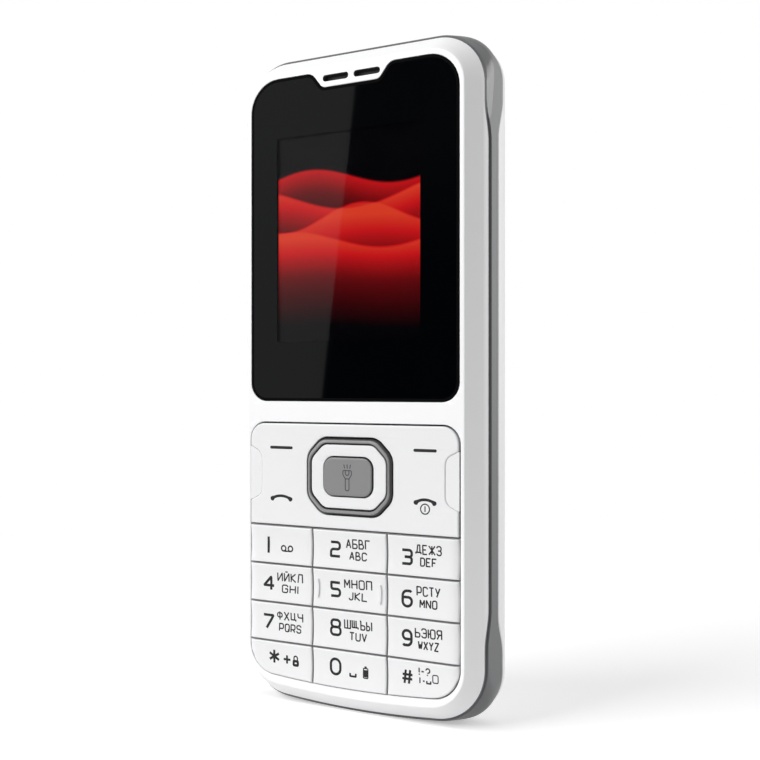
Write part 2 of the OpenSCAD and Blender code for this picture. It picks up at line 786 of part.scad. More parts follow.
module lcd_flex() {
    low = glass_z0 - backlight_border - flex_l;
    color("darkorange") place()
        block(display_x - flex_w / 2, display_x + flex_w / 2, flex_front, board_front, low, glass_z0 + flex_l);
}

module earpiece_mesh() {
    half = pocket_h / 2 - tiny;
    color("dimgray") place() block(-ear_w / 2 + tiny, ear_w / 2 - tiny, ear_wall, ear_wall + mesh_t,
        slot_z - half, slot_z + half);
}

module earpiece_gasket() {
    half = pocket_h / 2 - tiny;
    color("black") place() frame(-ear_w / 2 + tiny, ear_w / 2 - tiny, slot_z - half, slot_z + half,
        pocket_frame, ear_wall + mesh_t, front_t);
}

module earpiece_speaker() {
    high = slot_z + ear_rise;
    cap = ear_w / 2 - ear_step;
    color("silver") place() union() {
        block(-ear_w / 2, ear_w / 2, front_t, board_front - ear_cap_t, high - ear_h, high);
        block(-cap, cap, front_t, board_front, high - ear_h + ear_step, high - ear_step);
    }
}

// Key whose outline is the key opening cut to one cell of the grid
module key_cell(x0, x1, z0, z1, proud) {
    intersection() {
        slab(-proud, key_back) polygon(key_ring(key_gap));
        block(x0 + key_gap / 2, x1 - key_gap / 2, -proud - over, key_back + over, z0 + key_gap / 2,
            z1 - key_gap / 2);
    }
}

// Number key in a column and a row, with a hollow across its face
module number_key(column, row) {
    edges = [-key_area_w / 2, -column_w / 2, column_w / 2, key_area_w / 2];
    low = row == 3 ? key_bottom - over : number_top - (row + 1) * row_pitch;
    high = number_top - row * row_pitch;
    middle = row == 3 ? key_bottom + bottom_row_h / 2 : (low + high) / 2;
    dish_r = (row_pitch * row_pitch / 4 + key_dish * key_dish) / (2 * key_dish);
    color("white") place() difference() {
        key_cell(edges[column], edges[column + 1], low, high, key_proud);
        translate([-body_w / 2, -key_proud + key_dish - dish_r, middle]) rotate([0, 90, 0])
            cylinder(r = dish_r, h = body_w, $fn = 120);
    }
}

module key_1() { number_key(0, 0); }
module key_2() { number_key(1, 0); }
module key_3() { number_key(2, 0); }
module key_4() { number_key(0, 1); }
module key_5() { number_key(1, 1); }
module key_6() { number_key(2, 1); }
module key_7() { number_key(0, 2); }
module key_8() { number_key(1, 2); }
module key_9() { number_key(2, 2); }
module key_star() { number_key(0, 3); }
module key_0() { number_key(1, 3); }
module key_hash() { number_key(2, 3); }

module function_plate() {
    edge = key_area_w / 2;
    color("white") place() difference() {
        key_cell(-edge, edge, number_top, key_top + over, key_proud);
        slab(-key_proud - over, key_back + over)
            polygon(octagon(0, nav_z, nav_w + 2 * key_gap, nav_h + 2 * key_gap, nav_cut, nav_r + key_gap));
        for (s = [-1, 1]) slab(-key_proud - over, -key_proud + tab_d)
            polygon([[s * (edge + over), nav_z - tab_h / 2 - over],
                [s * (edge + over), nav_z + tab_h / 2 + over], [s * edge, nav_z + tab_h / 2],
                [s * (edge - tab_w), nav_z + tab_inner_h / 2], [s * (edge - tab_w), nav_z - tab_inner_h / 2],
                [s * edge, nav_z - tab_h / 2]]);
    }
}

module nav_pad() {
    color("white") place() difference() {
        slab(-pad_proud, key_back) polygon(octagon(0, nav_z, pad_w, pad_h, pad_cut, pad_r));
        slab(-pad_proud - over, key_back + over)
            polygon(round_rect(0, nav_z, centre_w + 2 * key_gap, centre_h + 2 * key_gap, centre_r + key_gap));
    }
}

module nav_ring() {
    color("gray") place() difference() {
        slab(-ring_proud, key_back) polygon(octagon(0, nav_z, nav_w, nav_h, nav_cut, nav_r));
        slab(-ring_proud - over, key_back + over) polygon(octagon(0, nav_z, pad_w, pad_h, pad_cut, pad_r));
    }
}

module centre_key() {
    color("gray") place()
        slab(-centre_proud, key_back) polygon(round_rect(0, nav_z, centre_w, centre_h, centre_r));
}

// Middle of a number key's face
function key_centre(column, row) =
    [(column - 1) * (key_area_w / 2 + column_w / 2) / 2,
        row == 3 ? key_bottom + bottom_row_h / 2 : number_top - (row + 0.5) * row_pitch];
NUMBER_DOMES = [for (row = [0:3]) for (column = [0:2]) key_centre(column, row)];
FUNCTION_DOMES = [for (x = [-1, 1]) for (z = [-1, 1]) [x * function_dome_x, nav_z + z * function_dome_z]];
NAV_DOMES = [[pad_w / 2 - nav_pip_x, nav_z], [nav_pip_x - pad_w / 2, nav_z],
    [0, nav_z + pad_h / 2 - nav_pip_z], [0, nav_z - pad_h / 2 + nav_pip_z]];

module function_rubber() {
    hole_w = nav_w + 2 * rubber_gap;
    hole_h = nav_h + 2 * rubber_gap;
    low = number_top + rubber_gap / 2;
    high = key_top - rubber_gap;
    color("gainsboro") place() difference() {
        union() {
            block(-rubber_half_w, rubber_half_w, rubber_front, rubber_back, low, high);
            for (p = FUNCTION_DOMES) peg(p[0], p[1], function_post_r, rubber_top, rubber_back);
            for (p = FUNCTION_DOMES) peg(p[0], p[1], pip_r, rubber_front, film_front - pip_gap);
        }
        block(-hole_w / 2, hole_w / 2, 0, board_front, nav_z - hole_h / 2, nav_z + hole_h / 2);
    }
}

module nav_rubber() {
    hole_w = centre_w - 2 * nav_rim;
    hole_h = centre_h - 2 * nav_rim;
    color("gainsboro") place() difference() {
        union() {
            block(-nav_w / 2, nav_w / 2, rubber_front, rubber_back, nav_z - nav_h / 2, nav_z + nav_h / 2);
            for (p = NAV_DOMES) peg(p[0], p[1], nav_pip_r, rubber_top, rubber_back);
            for (p = NAV_DOMES) peg(p[0], p[1], nav_pip_r, rubber_front, film_front - pip_gap);
        }
        block(-hole_w / 2, hole_w / 2, 0, board_front, nav_z - hole_h / 2, nav_z + hole_h / 2);
    }
}

module keypad_rubber() {
    low = key_bottom + rubber_rise;
    high = number_top - rubber_gap / 2;
    color("gainsboro") place() union() {
        block(-rubber_half_w, rubber_half_w, rubber_front, rubber_back, low, high);
        frame(-rubber_half_w, rubber_half_w, low, high, foot_w, rubber_front, film_front);
        for (p = NUMBER_DOMES) peg(p[0], p[1], number_post_r, rubber_top, rubber_back);
        for (p = NUMBER_DOMES) peg(p[0], p[1], pip_r, rubber_front, film_front - pip_gap);
    }
}

module dome_film() {
    color("lightgoldenrodyellow") place() block(-rubber_half_w, rubber_half_w, film_front, film_front + film_t,
        key_bottom + film_rise, key_top - rubber_gap);
}

// Domes that snap under a finger, each a low cone on the board
module domes(places, r, top_r) {
    for (p = places) translate([p[0], board_front, p[1]]) rotate([90, 0, 0])
        cylinder(r1 = r, r2 = top_r, h = dome_h);
}

module metal_domes() {
    color("silver") place() {
        domes(concat(NUMBER_DOMES, FUNCTION_DOMES), dome_r, dome_top_r);
        domes(concat(NAV_DOMES, [[0, nav_z]]), nav_dome_r, nav_dome_top_r);
    }
}

module main_board() {
    notch = jack_half + socket_gap;
    color("darkgreen") place() difference() {
        slab(board_front, board_back) polygon(body_ring(board_inset, board_inset, 0));
        for (s = SCREWS) peg(s[0], s[1], boss_hole_r + board_gap, board_front - over, board_back + over);
        block(socket_x - notch, socket_x + notch, 0, body_d, -over, jack_top + board_gap);
    }
}

module cpu_shield() {
    color("silver") place() can(sim_gap / 2, part_x, battery_z + cpu_rise, card_top);
}

module rf_shield() {
    high = body_h - rf_drop;
    color("silver") place() can(-rf_x - rf_w, -rf_x, high - rf_h, high);
}

module sim_sockets() {
    color("silver") place() {
        tray(-part_x, -sim_gap / 2, sim_z, sim_top);
        tray(sim_gap / 2, part_x, sim_z, sim_top);
    }
}

module card_socket() {
    color("silver") place() tray(-part_x, card_w - part_x, card_top - card_h, card_top);
}

module battery_contacts() {
    half = spring_w / 2;
    spring = battery_front + (contact_d - spring_d) / 2;
    color("goldenrod") place() union() {
        block(-contact_w / 2, contact_w / 2, board_back, battery_front + contact_d, contact_top - contact_h,
            contact_top);
        for (x = [-spring_pitch, 0, spring_pitch])
            block(x - half, x + half, spring, spring + spring_d, contact_top - half, contact_top + spring_l);
    }
}

module usb_port() {
    x0 = -socket_x - usb_w / 2;
    x1 = -socket_x + usb_w / 2;
    middle = board_back + usb_h / 2;
    high = usb_z + usb_l;
    color("silver") place() union() {
        difference() {
            block(x0, x1, board_back, board_back + usb_h, usb_z, high);
            block(x0 + usb_t, x1 - usb_t, board_back + usb_t, board_back + usb_h - usb_t, usb_z - over,
                high - usb_end);
        }
        block(-socket_x - tongue_w / 2, -socket_x + tongue_w / 2, middle - tongue_t / 2, middle + tongue_t / 2,
            usb_z + usb_end, high - usb_end / 2);
    }
}

module audio_jack() {
    side = jack_r + jack_wall - socket_gap;
    color("dimgray") place() difference() {
        block(socket_x - jack_half, socket_x + jack_half, jack_d - side, jack_d + side, jack_z, jack_top);
        post(socket_x, jack_d, jack_r, jack_z - over, jack_z + jack_l);
    }
}

module microphone() {
    color("silver") place() peg(0, mic_z, mic_r, board_back, board_back + mic_h);
}

module microphone_boot() {
    half = mic_hole_r + boot_wall;
    color("black") place() difference() {
        block(-half, half, board_back, board_back + mic_h, wall + socket_gap, board_inset - tiny);
        post(0, board_back + mic_h / 2, mic_hole_r, 0, mic_z);
    }
}

module loudspeaker() {
    color("dimgray") place() union() {
        peg(speaker_x, speaker_z, speaker_r, floor_back, floor_back + basket_t);
        peg(speaker_x, speaker_z, speaker_r - speaker_step, floor_back, floor_back + speaker_t);
    }
}

module speaker_mesh() {
    color("black") place() peg(speaker_x, speaker_z, speaker_r - speaker_step, floor_back + speaker_t,
        floor_back + speaker_t + mesh_t);
}

// Cylinder along the motor's axis
module shaft(r, from, to) {
    translate([from, motor_d, motor_z]) rotate([0, 90, 0]) cylinder(r = r, h = to - from);
}

module vibration_motor() {
    color("silver") place() difference() {
        shaft(motor_r, motor_x, motor_x + motor_l);
        shaft(shaft_r + shaft_gap, motor_x + motor_l / 2, motor_x + motor_l + over);
    }
}

module motor_weight() {
    start = motor_x + motor_l + weight_gap;
    finish = motor_x + motor_l + weight_l;
    color("dimgray") place() union() {
        shaft(shaft_r, motor_x + motor_l / 2 + weight_gap, finish);
        intersection() {
            shaft(weight_r, start, finish);
            block(start - over, finish + over, 0, body_d, 0, motor_z);
        }
    }
}

module torch_led() {
    high = body_h - board_inset - led_inset;
    color("lightyellow") place()
        block(-led_w / 2, led_w / 2, board_back, floor_front - socket_gap, high - led_l, high);
}

module torch_lens() {
    inside = body_h - wall - socket_gap;
    color("whitesmoke") place() union() {
        post(0, torch_d, torch_r, inside - torch_l, body_h - socket_gap);
        post(0, torch_d, torch_r + torch_flange, body_h - board_inset + socket_gap, inside);
    }
}

module antenna() {
    high = battery_z - antenna_drop;
    color("goldenrod") place() difference() {
        block(-bay_half_w, socket_x - jack_half - board_gap, floor_back, floor_back + antenna_t, antenna_z,
            high);
        for (i = [0:2]) let (x = antenna_strip - bay_half_w + i * antenna_pitch)
            block(x, x + antenna_slot, 0, body_d, antenna_z + antenna_strip, high + over);
    }
}

// Band round the sides, with a groove along its front edge
module side_band() {
    swell_front = cheek_front + groove_w;
    color("gray") place() difference() {
        union() {
            intersection() {
                loft([[0, 0, 0, 0], [swell_front, 0, 0, 0], [swell_front + swell_d, 0, 0, 1],
                    [cheek_back + over, 0, 0, 1]]);
                between(band_front + groove_w, cheek_front + groove_w, band_back, cheek_back);
            }
            intersection() {
                slab(0, cheek_back + over) polygon(body_ring(groove_d, groove_d + band_step, 0));
                between(band_front, cheek_front, band_back, cheek_back);
            }
        }
        slab(-over, body_d) polygon(body_ring(wall, wall, 0));
        post(socket_x, jack_d, jack_r + plug_gap, -over, wall + over);
        usb_room();
        post(0, board_back + mic_h / 2, mic_hole_r, -over, wall + over);
        torch_room();
    }
}

// Space that the charging socket takes up in the housing
module usb_room() {
    half = usb_w / 2 + socket_gap;
    block(-socket_x - half, -socket_x + half, board_back - socket_gap, board_back + usb_h + socket_gap, -over,
        usb_z + usb_l + socket_gap);
}

// Space that the torch lens takes up in the housing
module torch_room() {
    post(0, torch_d, torch_r + socket_gap, body_h - wall - over, body_h + over);
    post(0, torch_d, torch_r + torch_flange + socket_gap, body_h - board_inset - over, body_h - wall);
}

// Inner housing: a floor with the lip for the cover, the battery bay and the loudspeaker's ring
module rear_housing() {
    half = jack_half + socket_gap;
    color("dimgray") place() difference() {
        union() {
            difference() {
                intersection() {
                    slab(floor_front, body_d) polygon(body_ring(lip_inset, lip_inset, 0));
                    between(floor_front, floor_front, band_back + lip_h, cheek_back + lip_h);
                }
                slab(0, body_d + over) polygon(body_ring(lip_inset + lip_t, lip_inset + lip_t, 0));
            }
            slab(floor_front, floor_back) polygon(body_ring(wall, wall, 0));
            frame(-bay_half_w - bay_wall, bay_half_w + bay_wall, bay_bottom - bay_wall, bay_top + bay_wall,
                bay_wall, floor_front, battery_back - bay_drop);
            peg(speaker_x, speaker_z, speaker_r + speaker_gap + speaker_wall, floor_front,
                battery_back - ring_drop);
            for (s = SCREWS) peg(s[0], s[1], boss_r, board_back, floor_back);
        }
        peg(speaker_x, speaker_z, speaker_r + speaker_gap, floor_back, body_d);
        for (s = SCREWS) peg(s[0], s[1], boss_hole_r, 0, body_d);
        for (s = SCREWS) peg(s[0], s[1], head_r + head_gap, floor_back, body_d);
        // Openings in the floor for what stands on the board
        opening(-part_x, part_x, sim_z, sim_top, opening_gap);
        opening(-part_x, card_w - part_x, card_top - card_h, card_top, opening_gap);
        opening(-contact_w / 2, contact_w / 2, contact_top - contact_h, bay_bottom - opening_gap + tiny,
            opening_gap);
        opening(motor_x, motor_x + motor_l + weight_l, motor_z - motor_r, motor_z + motor_r, motor_gap);
        block(socket_x - half, socket_x + half, floor_front - over, body_d, wall - over, jack_top + board_gap);
        usb_room();
        torch_room();
    }
}

module housing_screws() {
    tip = front_t + hole_floor + tip_gap;
    color("silver") place() for (s = SCREWS) union() {
        peg(s[0], s[1], screw_r, tip, floor_back + head_h);
        difference() {
            peg(s[0], s[1], head_r, floor_back, floor_back + head_h);
            peg(s[0], s[1], hex_r, floor_back + head_h - hex_d, body_d, $fn = 6);
        }
    }
}

module battery() {
    color("lightslategray") place() slab(battery_front, battery_back)
        polygon(round_rect(0, (battery_z + battery_top) / 2, battery_w, battery_top - battery_z, battery_r));
}

// Depths and insets of the back's rounded edge
function back_levels(inset, radius, back, share) = concat(
    [[band_back - over, inset, inset, share]],
    [for (i = [0:back_n]) let (a = 90 * i / back_n, in = inset + radius * (1 - cos(a)))
        [back - radius + radius * sin(a), in, in, share]]
);

module battery_cover() {
    color("white") place() difference() {
        intersection() {
            loft(back_levels(0, back_r, body_d, 1));
            between(band_back + cover_gap, cheek_back + cover_gap, body_d + over, body_d + over);
        }
        loft(back_levels(cover_t, back_r - cover_t, cover_inner, 0));
        for (i = [0:grille_n - 1]) let (x = speaker_x + (i - (grille_n - 1) / 2) * grille_pitch)
            slab(cover_inner - over, body_d + over)
                polygon(round_rect(x, speaker_z, grille_w, grille_l, grille_w / 2 - tiny));
        block(-nail_w / 2, nail_w / 2, cheek_back - over, cheek_back + nail_d, -over, cover_t + over);
    }
}

front_housing();
display_window();
window_adhesive();
display_gasket();
lcd_glass();
backlight_unit();
lcd_flex();
earpiece_mesh();
earpiece_gasket();
earpiece_speaker();
function_plate();
nav_pad();
nav_ring();
centre_key();
key_1();
key_2();
key_3();
key_4();
key_5();
key_6();
key_7();
key_8();
key_9();
key_star();
key_0();
key_hash();
function_rubber();
nav_rubber();
keypad_rubber();
dome_film();
metal_domes();
main_board();
cpu_shield();
rf_shield();
sim_sockets();
card_socket();
battery_contacts();
usb_port();
audio_jack();
microphone();
microphone_boot();
loudspeaker();
speaker_mesh();
vibration_motor();
motor_weight();
torch_led();
torch_lens();
antenna();
side_band();
rear_housing();
housing_screws();
battery();
battery_cover();
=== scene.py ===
import math

import bmesh
import bpy
import numpy as np
from mathutils.geometry import tessellate_polygon
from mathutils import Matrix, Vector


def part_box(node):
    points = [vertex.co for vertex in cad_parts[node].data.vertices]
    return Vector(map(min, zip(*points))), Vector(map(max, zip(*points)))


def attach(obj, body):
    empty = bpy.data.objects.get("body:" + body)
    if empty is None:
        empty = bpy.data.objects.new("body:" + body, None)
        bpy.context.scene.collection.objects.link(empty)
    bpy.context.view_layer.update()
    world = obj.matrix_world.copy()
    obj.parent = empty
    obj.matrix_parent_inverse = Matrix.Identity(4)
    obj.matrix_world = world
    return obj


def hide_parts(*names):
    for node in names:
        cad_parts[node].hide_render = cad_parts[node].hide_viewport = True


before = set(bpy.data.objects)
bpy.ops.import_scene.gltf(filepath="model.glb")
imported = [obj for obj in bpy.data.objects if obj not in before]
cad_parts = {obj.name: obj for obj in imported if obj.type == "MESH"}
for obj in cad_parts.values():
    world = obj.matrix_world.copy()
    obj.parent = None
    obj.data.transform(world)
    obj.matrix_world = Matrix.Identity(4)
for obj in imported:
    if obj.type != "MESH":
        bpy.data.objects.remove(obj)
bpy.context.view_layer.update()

# Front shell
# The white front of the case, moulded in one shot from glossy plastic: a flat face, a bevel down to the side
# band, a seat for the window, one opening for all the keys and two earpiece slots. The slots' walls are
# painted dark, as painted shade inside the slots.
MM = 0.001
# Steps round a corner, along a side and along the bowed bottom edge.
ARC, SIDE, BOW = 20, 96, 64


def box_mm(node):
    """Lowest and highest corner of a node, in millimetres."""
    low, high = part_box(node)
    return np.array(low) / MM, np.array(high) / MM


def mid_mm(node):
    """Middle of a node's box, in millimetres."""
    return sum(box_mm(node)) / 2


band_low, band_high = box_mm("side_band")
window_low, window_high = box_mm("display_window")
glass_low, glass_high = box_mm("lcd_glass")
plate_low, plate_high = box_mm("function_plate")
keys_low = box_mm("key_0")[0]
front_y = window_low[1]
body_w, body_h = band_high[0] - band_low[0], band_high[2]
corner_top, corner_low, corner_full = 8.7, 9.4, 6.3
bow_r = 180.0
side_bevel, end_bevel = 2.4, 3.0
bevel_swell, bevel_crease = 0.3, 0.7
bevel_steps, bevel_first = 14, 0.06
band_step = 0.5
band_front, cheek_front = 3.9, 3.1
cheek_top, cheek_bottom, flare_l = 11.6, 13.1, 6.2
front_t, rim_w = 1.7, 3.0
face_edge_r, face_edge_flat, seam_edge_r = 0.3, 0.35, 0.12
window_gap, window_seat = 0.08, 1.0
window_r_low, window_r_top = 3.2, 5.6
notch_half_w, notch_floor_half_w, notch_d = 7.55, 5.45, 2.65
notch_r_mouth, notch_r_floor = 2.0, 1.5
glass_r = 0.3
key_gap, key_widen = 0.2, 0.2
key_side = plate_high[0] + key_widen
key_corner_low, key_corner_top, key_bow_r = 5.0, 2.9, 199.8
slot_size, slot_r = (4.9, 0.95), 0.455
slot_spread, slot_shift, slot_down = 6.1, 0.2, 1.2
slot_z = window_high[2] + window_gap - slot_down
ear_wall = 1.0
pocket_size, pocket_r = (13, 1.8), 0.2
window_hole_r, key_hole_r, slot_edge_r = 0.06, 0.12, 0.08


def ramp(n, first=0.0, last=1.0):
    """n + 1 even steps from first to last."""
    return np.linspace(first, last, n + 1)


def bowed(half_w, bottom, top, r_bottom, r_top, bow):
    """Closed outline in x and z: two straight sides, a straight top, a bottom edge on a wide arc of radius
    bow, and an arc at each corner. Every size may be an array with one value for each point."""
    quarter, side, low = ramp(ARC), ramp(SIDE)[1:-1], ramp(BOW)[1:-1]
    steps = [quarter, quarter, side, quarter, low, quarter, side]
    lengths = [len(s) for s in steps]
    sizes = [np.broadcast_to(np.asarray(v, float), sum(lengths))
             for v in (half_w, bottom, top, r_bottom, r_top, bow)]
    runs = zip(*(np.split(v, np.cumsum(lengths)[:-1]) for v in sizes))
    out = []
    for i, (a, b, t, rb, rt, w) in enumerate(runs):
        s = steps[i]
        cx, reach = a - rb, w - rb
        cz = b + w - np.sqrt(reach ** 2 - cx ** 2)
        turn = np.arcsin(cx / reach)
        right = 1 if i in (0, 5, 6) else -1
        if i < 2:
            angle = np.pi / 2 * (s + i)
            x, z = right * (a - rt) + rt * np.cos(angle), t - rt + rt * np.sin(angle)
        elif i in (2, 6):
            share = s if i == 2 else 1 - s
            x, z = right * a, (t - rt) * (1 - share) + cz * share
        elif i == 4:
            angle = 1.5 * np.pi - turn + 2 * turn * s
            x, z = w * np.cos(angle), b + w + w * np.sin(angle)
        else:
            angle = (np.pi if i == 3 else 1.5 * np.pi + turn) + (np.pi / 2 - turn) * s
            x, z = right * cx + rb * np.cos(angle), cz + rb * np.sin(angle)
        out.append(np.stack(np.broadcast_arrays(x, z), 1))
    return np.concatenate(out)


def body_ring(side, end, share=0.0):
    """Outline of the body drawn in by one distance along its sides and another at its ends. A share of 0
    gives the corners of the front, and 1 the fullest corners, in the middle of the band."""
    inner = (np.asarray(side) + np.asarray(end)) / 2
    low = corner_low + (corner_full - corner_low) * share - inner
    top = corner_top + (corner_full - corner_top) * share - inner
    return bowed(body_w / 2 - side, end, body_h - end, low, top, bow_r - end)


def ease(u):
    """Smooth step: 3u^2 - 2u^3, held between 0 and 1."""
    v = np.clip(u, 0, 1)
    return v * v * (3 - 2 * v)


def seam(z, mid, end):
    """Depth of a seam at a height: mid along the sides, eased over the flare to end at both ends."""
    up = ease((z - body_h + cheek_top + flare_l) / flare_l)
    down = ease((cheek_bottom + flare_l - z) / flare_l)
    return mid + (end - mid) * (up + down)


def side_inset(t):
    """Inset of the bevel along the sides: two straight slopes, the second steeper, that meet at a crease."""
    u = np.clip(t / band_front, 0, 1)
    return side_bevel * (1 - u) - bevel_swell * np.minimum(u / bevel_crease, (1 - u) / (1 - bevel_crease))


def end_inset(t):
    """Inset of the bevel at the ends: a straight slope down to the step at the band."""
    return band_step + (end_bevel - band_step) * np.clip(1 - t / cheek_front, 0, 1)


def corner_arcs(points, radii, inset=0.0):
    """Arcs in place of a polygon's corners, one row each: the edges are moved to their left by inset, and
    each arc touches the two edges of its corner."""
    p = np.asarray(points, float)
    edge = np.roll(p, -1, 0) - p
    edge /= np.linalg.norm(edge, axis=1)[:, None]
    normal = np.stack([-edge[:, 1], edge[:, 0]], 1)
    on = p + normal * inset
    before, on_before, normal_before = np.roll(edge, 1, 0), np.roll(on, 1, 0), np.roll(normal, 1, 0)
    turn = before[:, 0] * edge[:, 1] - before[:, 1] * edge[:, 0]
    gap = on - on_before
    corner = on_before + before * ((gap[:, 0] * edge[:, 1] - gap[:, 1] * edge[:, 0]) / turn)[:, None]
    bend = np.sign(turn)
    r = np.maximum(np.asarray(radii, float) - bend * inset, 0.01)
    meet = 1 + (normal * normal_before).sum(1)
    centre = corner + (normal + normal_before) * (bend * r / meet)[:, None]
    start = np.arctan2(-bend * normal_before[:, 1], -bend * normal_before[:, 0])
    sweep = np.arctan2(turn, (before * edge).sum(1))
    angle = start[:, None] + sweep[:, None] * ramp(ARC // 2)
    return centre[:, None] + r[:, None, None] * np.stack([np.cos(angle), np.sin(angle)], -1)


def rounded(points, radii, inset=0.0):
    """Closed outline of a polygon, given anticlockwise, drawn in by inset and with rounded corners."""
    return corner_arcs(points, radii, inset).reshape(-1, 2)


def oblong(x, z, w, h, r, inset=0.0):
    """Outline of a rectangle about a point, drawn in by inset and with rounded corners."""
    corners = np.array([[w, -h], [w, h], [-w, h], [-w, -h]]) / 2
    return rounded(np.array([x, z]) + corners, [r] * 4, inset)


def even_sided(right, radii, inset):
    """Outline that mirrors across the middle, from the corners of its right side and their radii."""
    return rounded(right + [[-x, z] for x, z in right[::-1]], radii + radii[::-1], inset)


def at(outline, t):
    """Outline in x and z carried to a depth below the front face, as points in millimetres."""
    depth = np.broadcast_to(front_y + np.asarray(t, float), len(outline))
    return np.stack([outline[:, 0], depth, outline[:, 1]], 1)


def skin(rows, closed=True, skip=None):
    """Four-sided faces between neighbouring rows of points. skip marks the columns to leave open."""
    rows = np.asarray(rows)
    index = np.arange(rows.shape[0] * rows.shape[1]).reshape(rows.shape[:2])
    after = np.roll(index, -1, 1)
    faces = np.stack([index[:-1], after[:-1], after[1:], index[1:]], -1)
    if not closed:
        faces = faces[:, :-1]
    if skip is not None:
        faces = faces[:, ~skip]
    return rows.reshape(-1, 3), faces.reshape(-1, 4)


def cap(*loops, axes=(0, 2)):
    """Triangles that fill the first loop and leave the others open, found in the plane of two axes."""
    flat = [[(*p, 0.0) for p in loop[:, axes].tolist()] for loop in loops]
    return np.concatenate(loops), np.array(tessellate_polygon(flat))


def lip(ring_of, r, t, steps=5):
    """Rows of a rounded edge: a quarter circle of radius r from the face at depth t down its wall.
    ring_of gives the outline for an inset."""
    angle = ramp(steps, 0, np.pi / 2)
    return [at(ring_of(r * (1 - math.sin(a))), t + r * (1 - math.cos(a))) for a in angle]


def mouth(ring_of, r, t, back):
    """Rows of a hole: a small rounded edge of radius r at depth t, then its wall to another depth.
    ring_of gives the hole's outline for an inset, and r is negative where the hole opens to the back."""
    size = abs(r)
    edge = [(size * (1 - math.sin(a)), t + r * (1 - math.cos(a))) for a in ramp(3, 0, np.pi / 2)]
    return [at(ring_of(-d), depth) for d, depth in edge] + [at(ring_of(0), back)]


def slab(ring_of, r, face, back, steps=5):
    """Rows of a flat piece: the rounded edge of its face, then its wall down to its back."""
    return [*lip(ring_of, r, face, steps), at(ring_of(0), back)]


def closed_up(rows):
    """Patches of a solid: the skin through its rows, with the first and the last row filled."""
    return [cap(rows[0]), skin(rows), cap(rows[-1])]


def piece(name, patches, finishes, body, replaced=(), crease=40):
    """Joins patches of points and faces, in millimetres, into one closed mesh that rides on a body.
    A patch may carry the number of its finish as a third entry."""
    verts, faces, kinds, count = [], [], [], 0
    for patch in patches:
        verts.append(patch[0])
        faces += (np.asarray(patch[1]) + count).tolist()
        kinds += [patch[2] if len(patch) > 2 else 0] * len(patch[1])
        count += len(patch[0])
    mesh = bpy.data.meshes.new(name)
    mesh.from_pydata(np.concatenate(verts) * MM, [], faces)
    mesh.polygons.foreach_set("material_index", np.array(kinds, np.int32))
    bm = bmesh.new()
    bm.from_mesh(mesh)
    bmesh.ops.remove_doubles(bm, verts=bm.verts, dist=1e-6)
    bmesh.ops.dissolve_degenerate(bm, edges=bm.edges, dist=1e-7)
    bmesh.ops.recalc_face_normals(bm, faces=bm.faces)
    bm.to_mesh(mesh)
    bm.free()
    mesh.shade_smooth()
    mesh.set_sharp_from_angle(angle=math.radians(crease))
    for finish in finishes:
        mesh.materials.append(finish)
    obj = bpy.data.objects.new(name, mesh)
    bpy.context.scene.collection.objects.link(obj)
    obj.modifiers.new("even_normals", "WEIGHTED_NORMAL").keep_sharp = True
    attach(obj, body)
    if replaced:
        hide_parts(*replaced)
    return obj


def srgb(*levels):
    """Linear colour of a screen colour from 0 to 255."""
    c = np.array(levels if len(levels) == 3 else levels * 3) / 255
    linear = np.where(c <= 0.04045, c / 12.92, ((c + 0.055) / 1.055) ** 2.4)
    return (*linear.tolist(), 1.0)


def wire(socket, value):
    """Joins an input to the output given, or sets it to a plain value."""
    if isinstance(value, bpy.types.NodeSocket):
        socket.id_data.links.new(value, socket)
    else:
        socket.default_value = value


def feed(node, **inputs):
    """Wires a node's inputs by name, with underscores for spaces."""
    for name, value in inputs.items():
        wire(node.inputs[name.replace("_", " ")], value)
    return node


def put(tree, kind, **inputs):
    """Adds a node and wires its inputs."""
    return feed(tree.nodes.new(kind), **inputs)


def place(tree, stretch=None, shift=(0, 0, 0)):
    """The piece's own coordinates in metres, stretched and shifted."""
    own = put(tree, "ShaderNodeTexCoord").outputs["Object"]
    if stretch is None:
        return own
    return put(tree, "ShaderNodeMapping", Vector=own, Scale=stretch, Location=shift).outputs["Vector"]


def noise(tree, scale, detail=2.0, stretch=None):
    """Noise over the piece's own coordinates, in features per metre."""
    spot = place(tree, stretch)
    return put(tree, "ShaderNodeTexNoise", Vector=spot, Scale=scale, Detail=detail).outputs["Fac"]


def between(tree, factor, low, high, first=0.0, last=1.0):
    """Number that runs from low to high while a factor runs from first to last."""
    span = put(tree, "ShaderNodeMapRange", Value=factor, From_Min=first, From_Max=last)
    return feed(span, To_Min=low, To_Max=high).outputs["Result"]


def tint(tree, factor, dark, light):
    """Colour that runs from dark to light with a factor."""
    node = tree.nodes.new("ShaderNodeMix")
    node.data_type = "RGBA"
    for socket, value in ((0, factor), (6, dark), (7, light)):
        wire(node.inputs[socket], value)
    return node.outputs[2]


def clouded(tree, colour, spread, stretch=None):
    """Colour that drifts over cloudy noise, down to one darker by a share of spread."""
    dark = tuple(c * (1 - spread) for c in colour[:3]) + (1.0,)
    return tint(tree, noise(tree, scale=120.0, detail=3.0, stretch=stretch), dark, colour)


def bare(name):
    """New material with its node tree and shader."""
    mat = bpy.data.materials.new(name)
    mat.use_nodes = True
    return mat, mat.node_tree, mat.node_tree.nodes["Principled BSDF"]


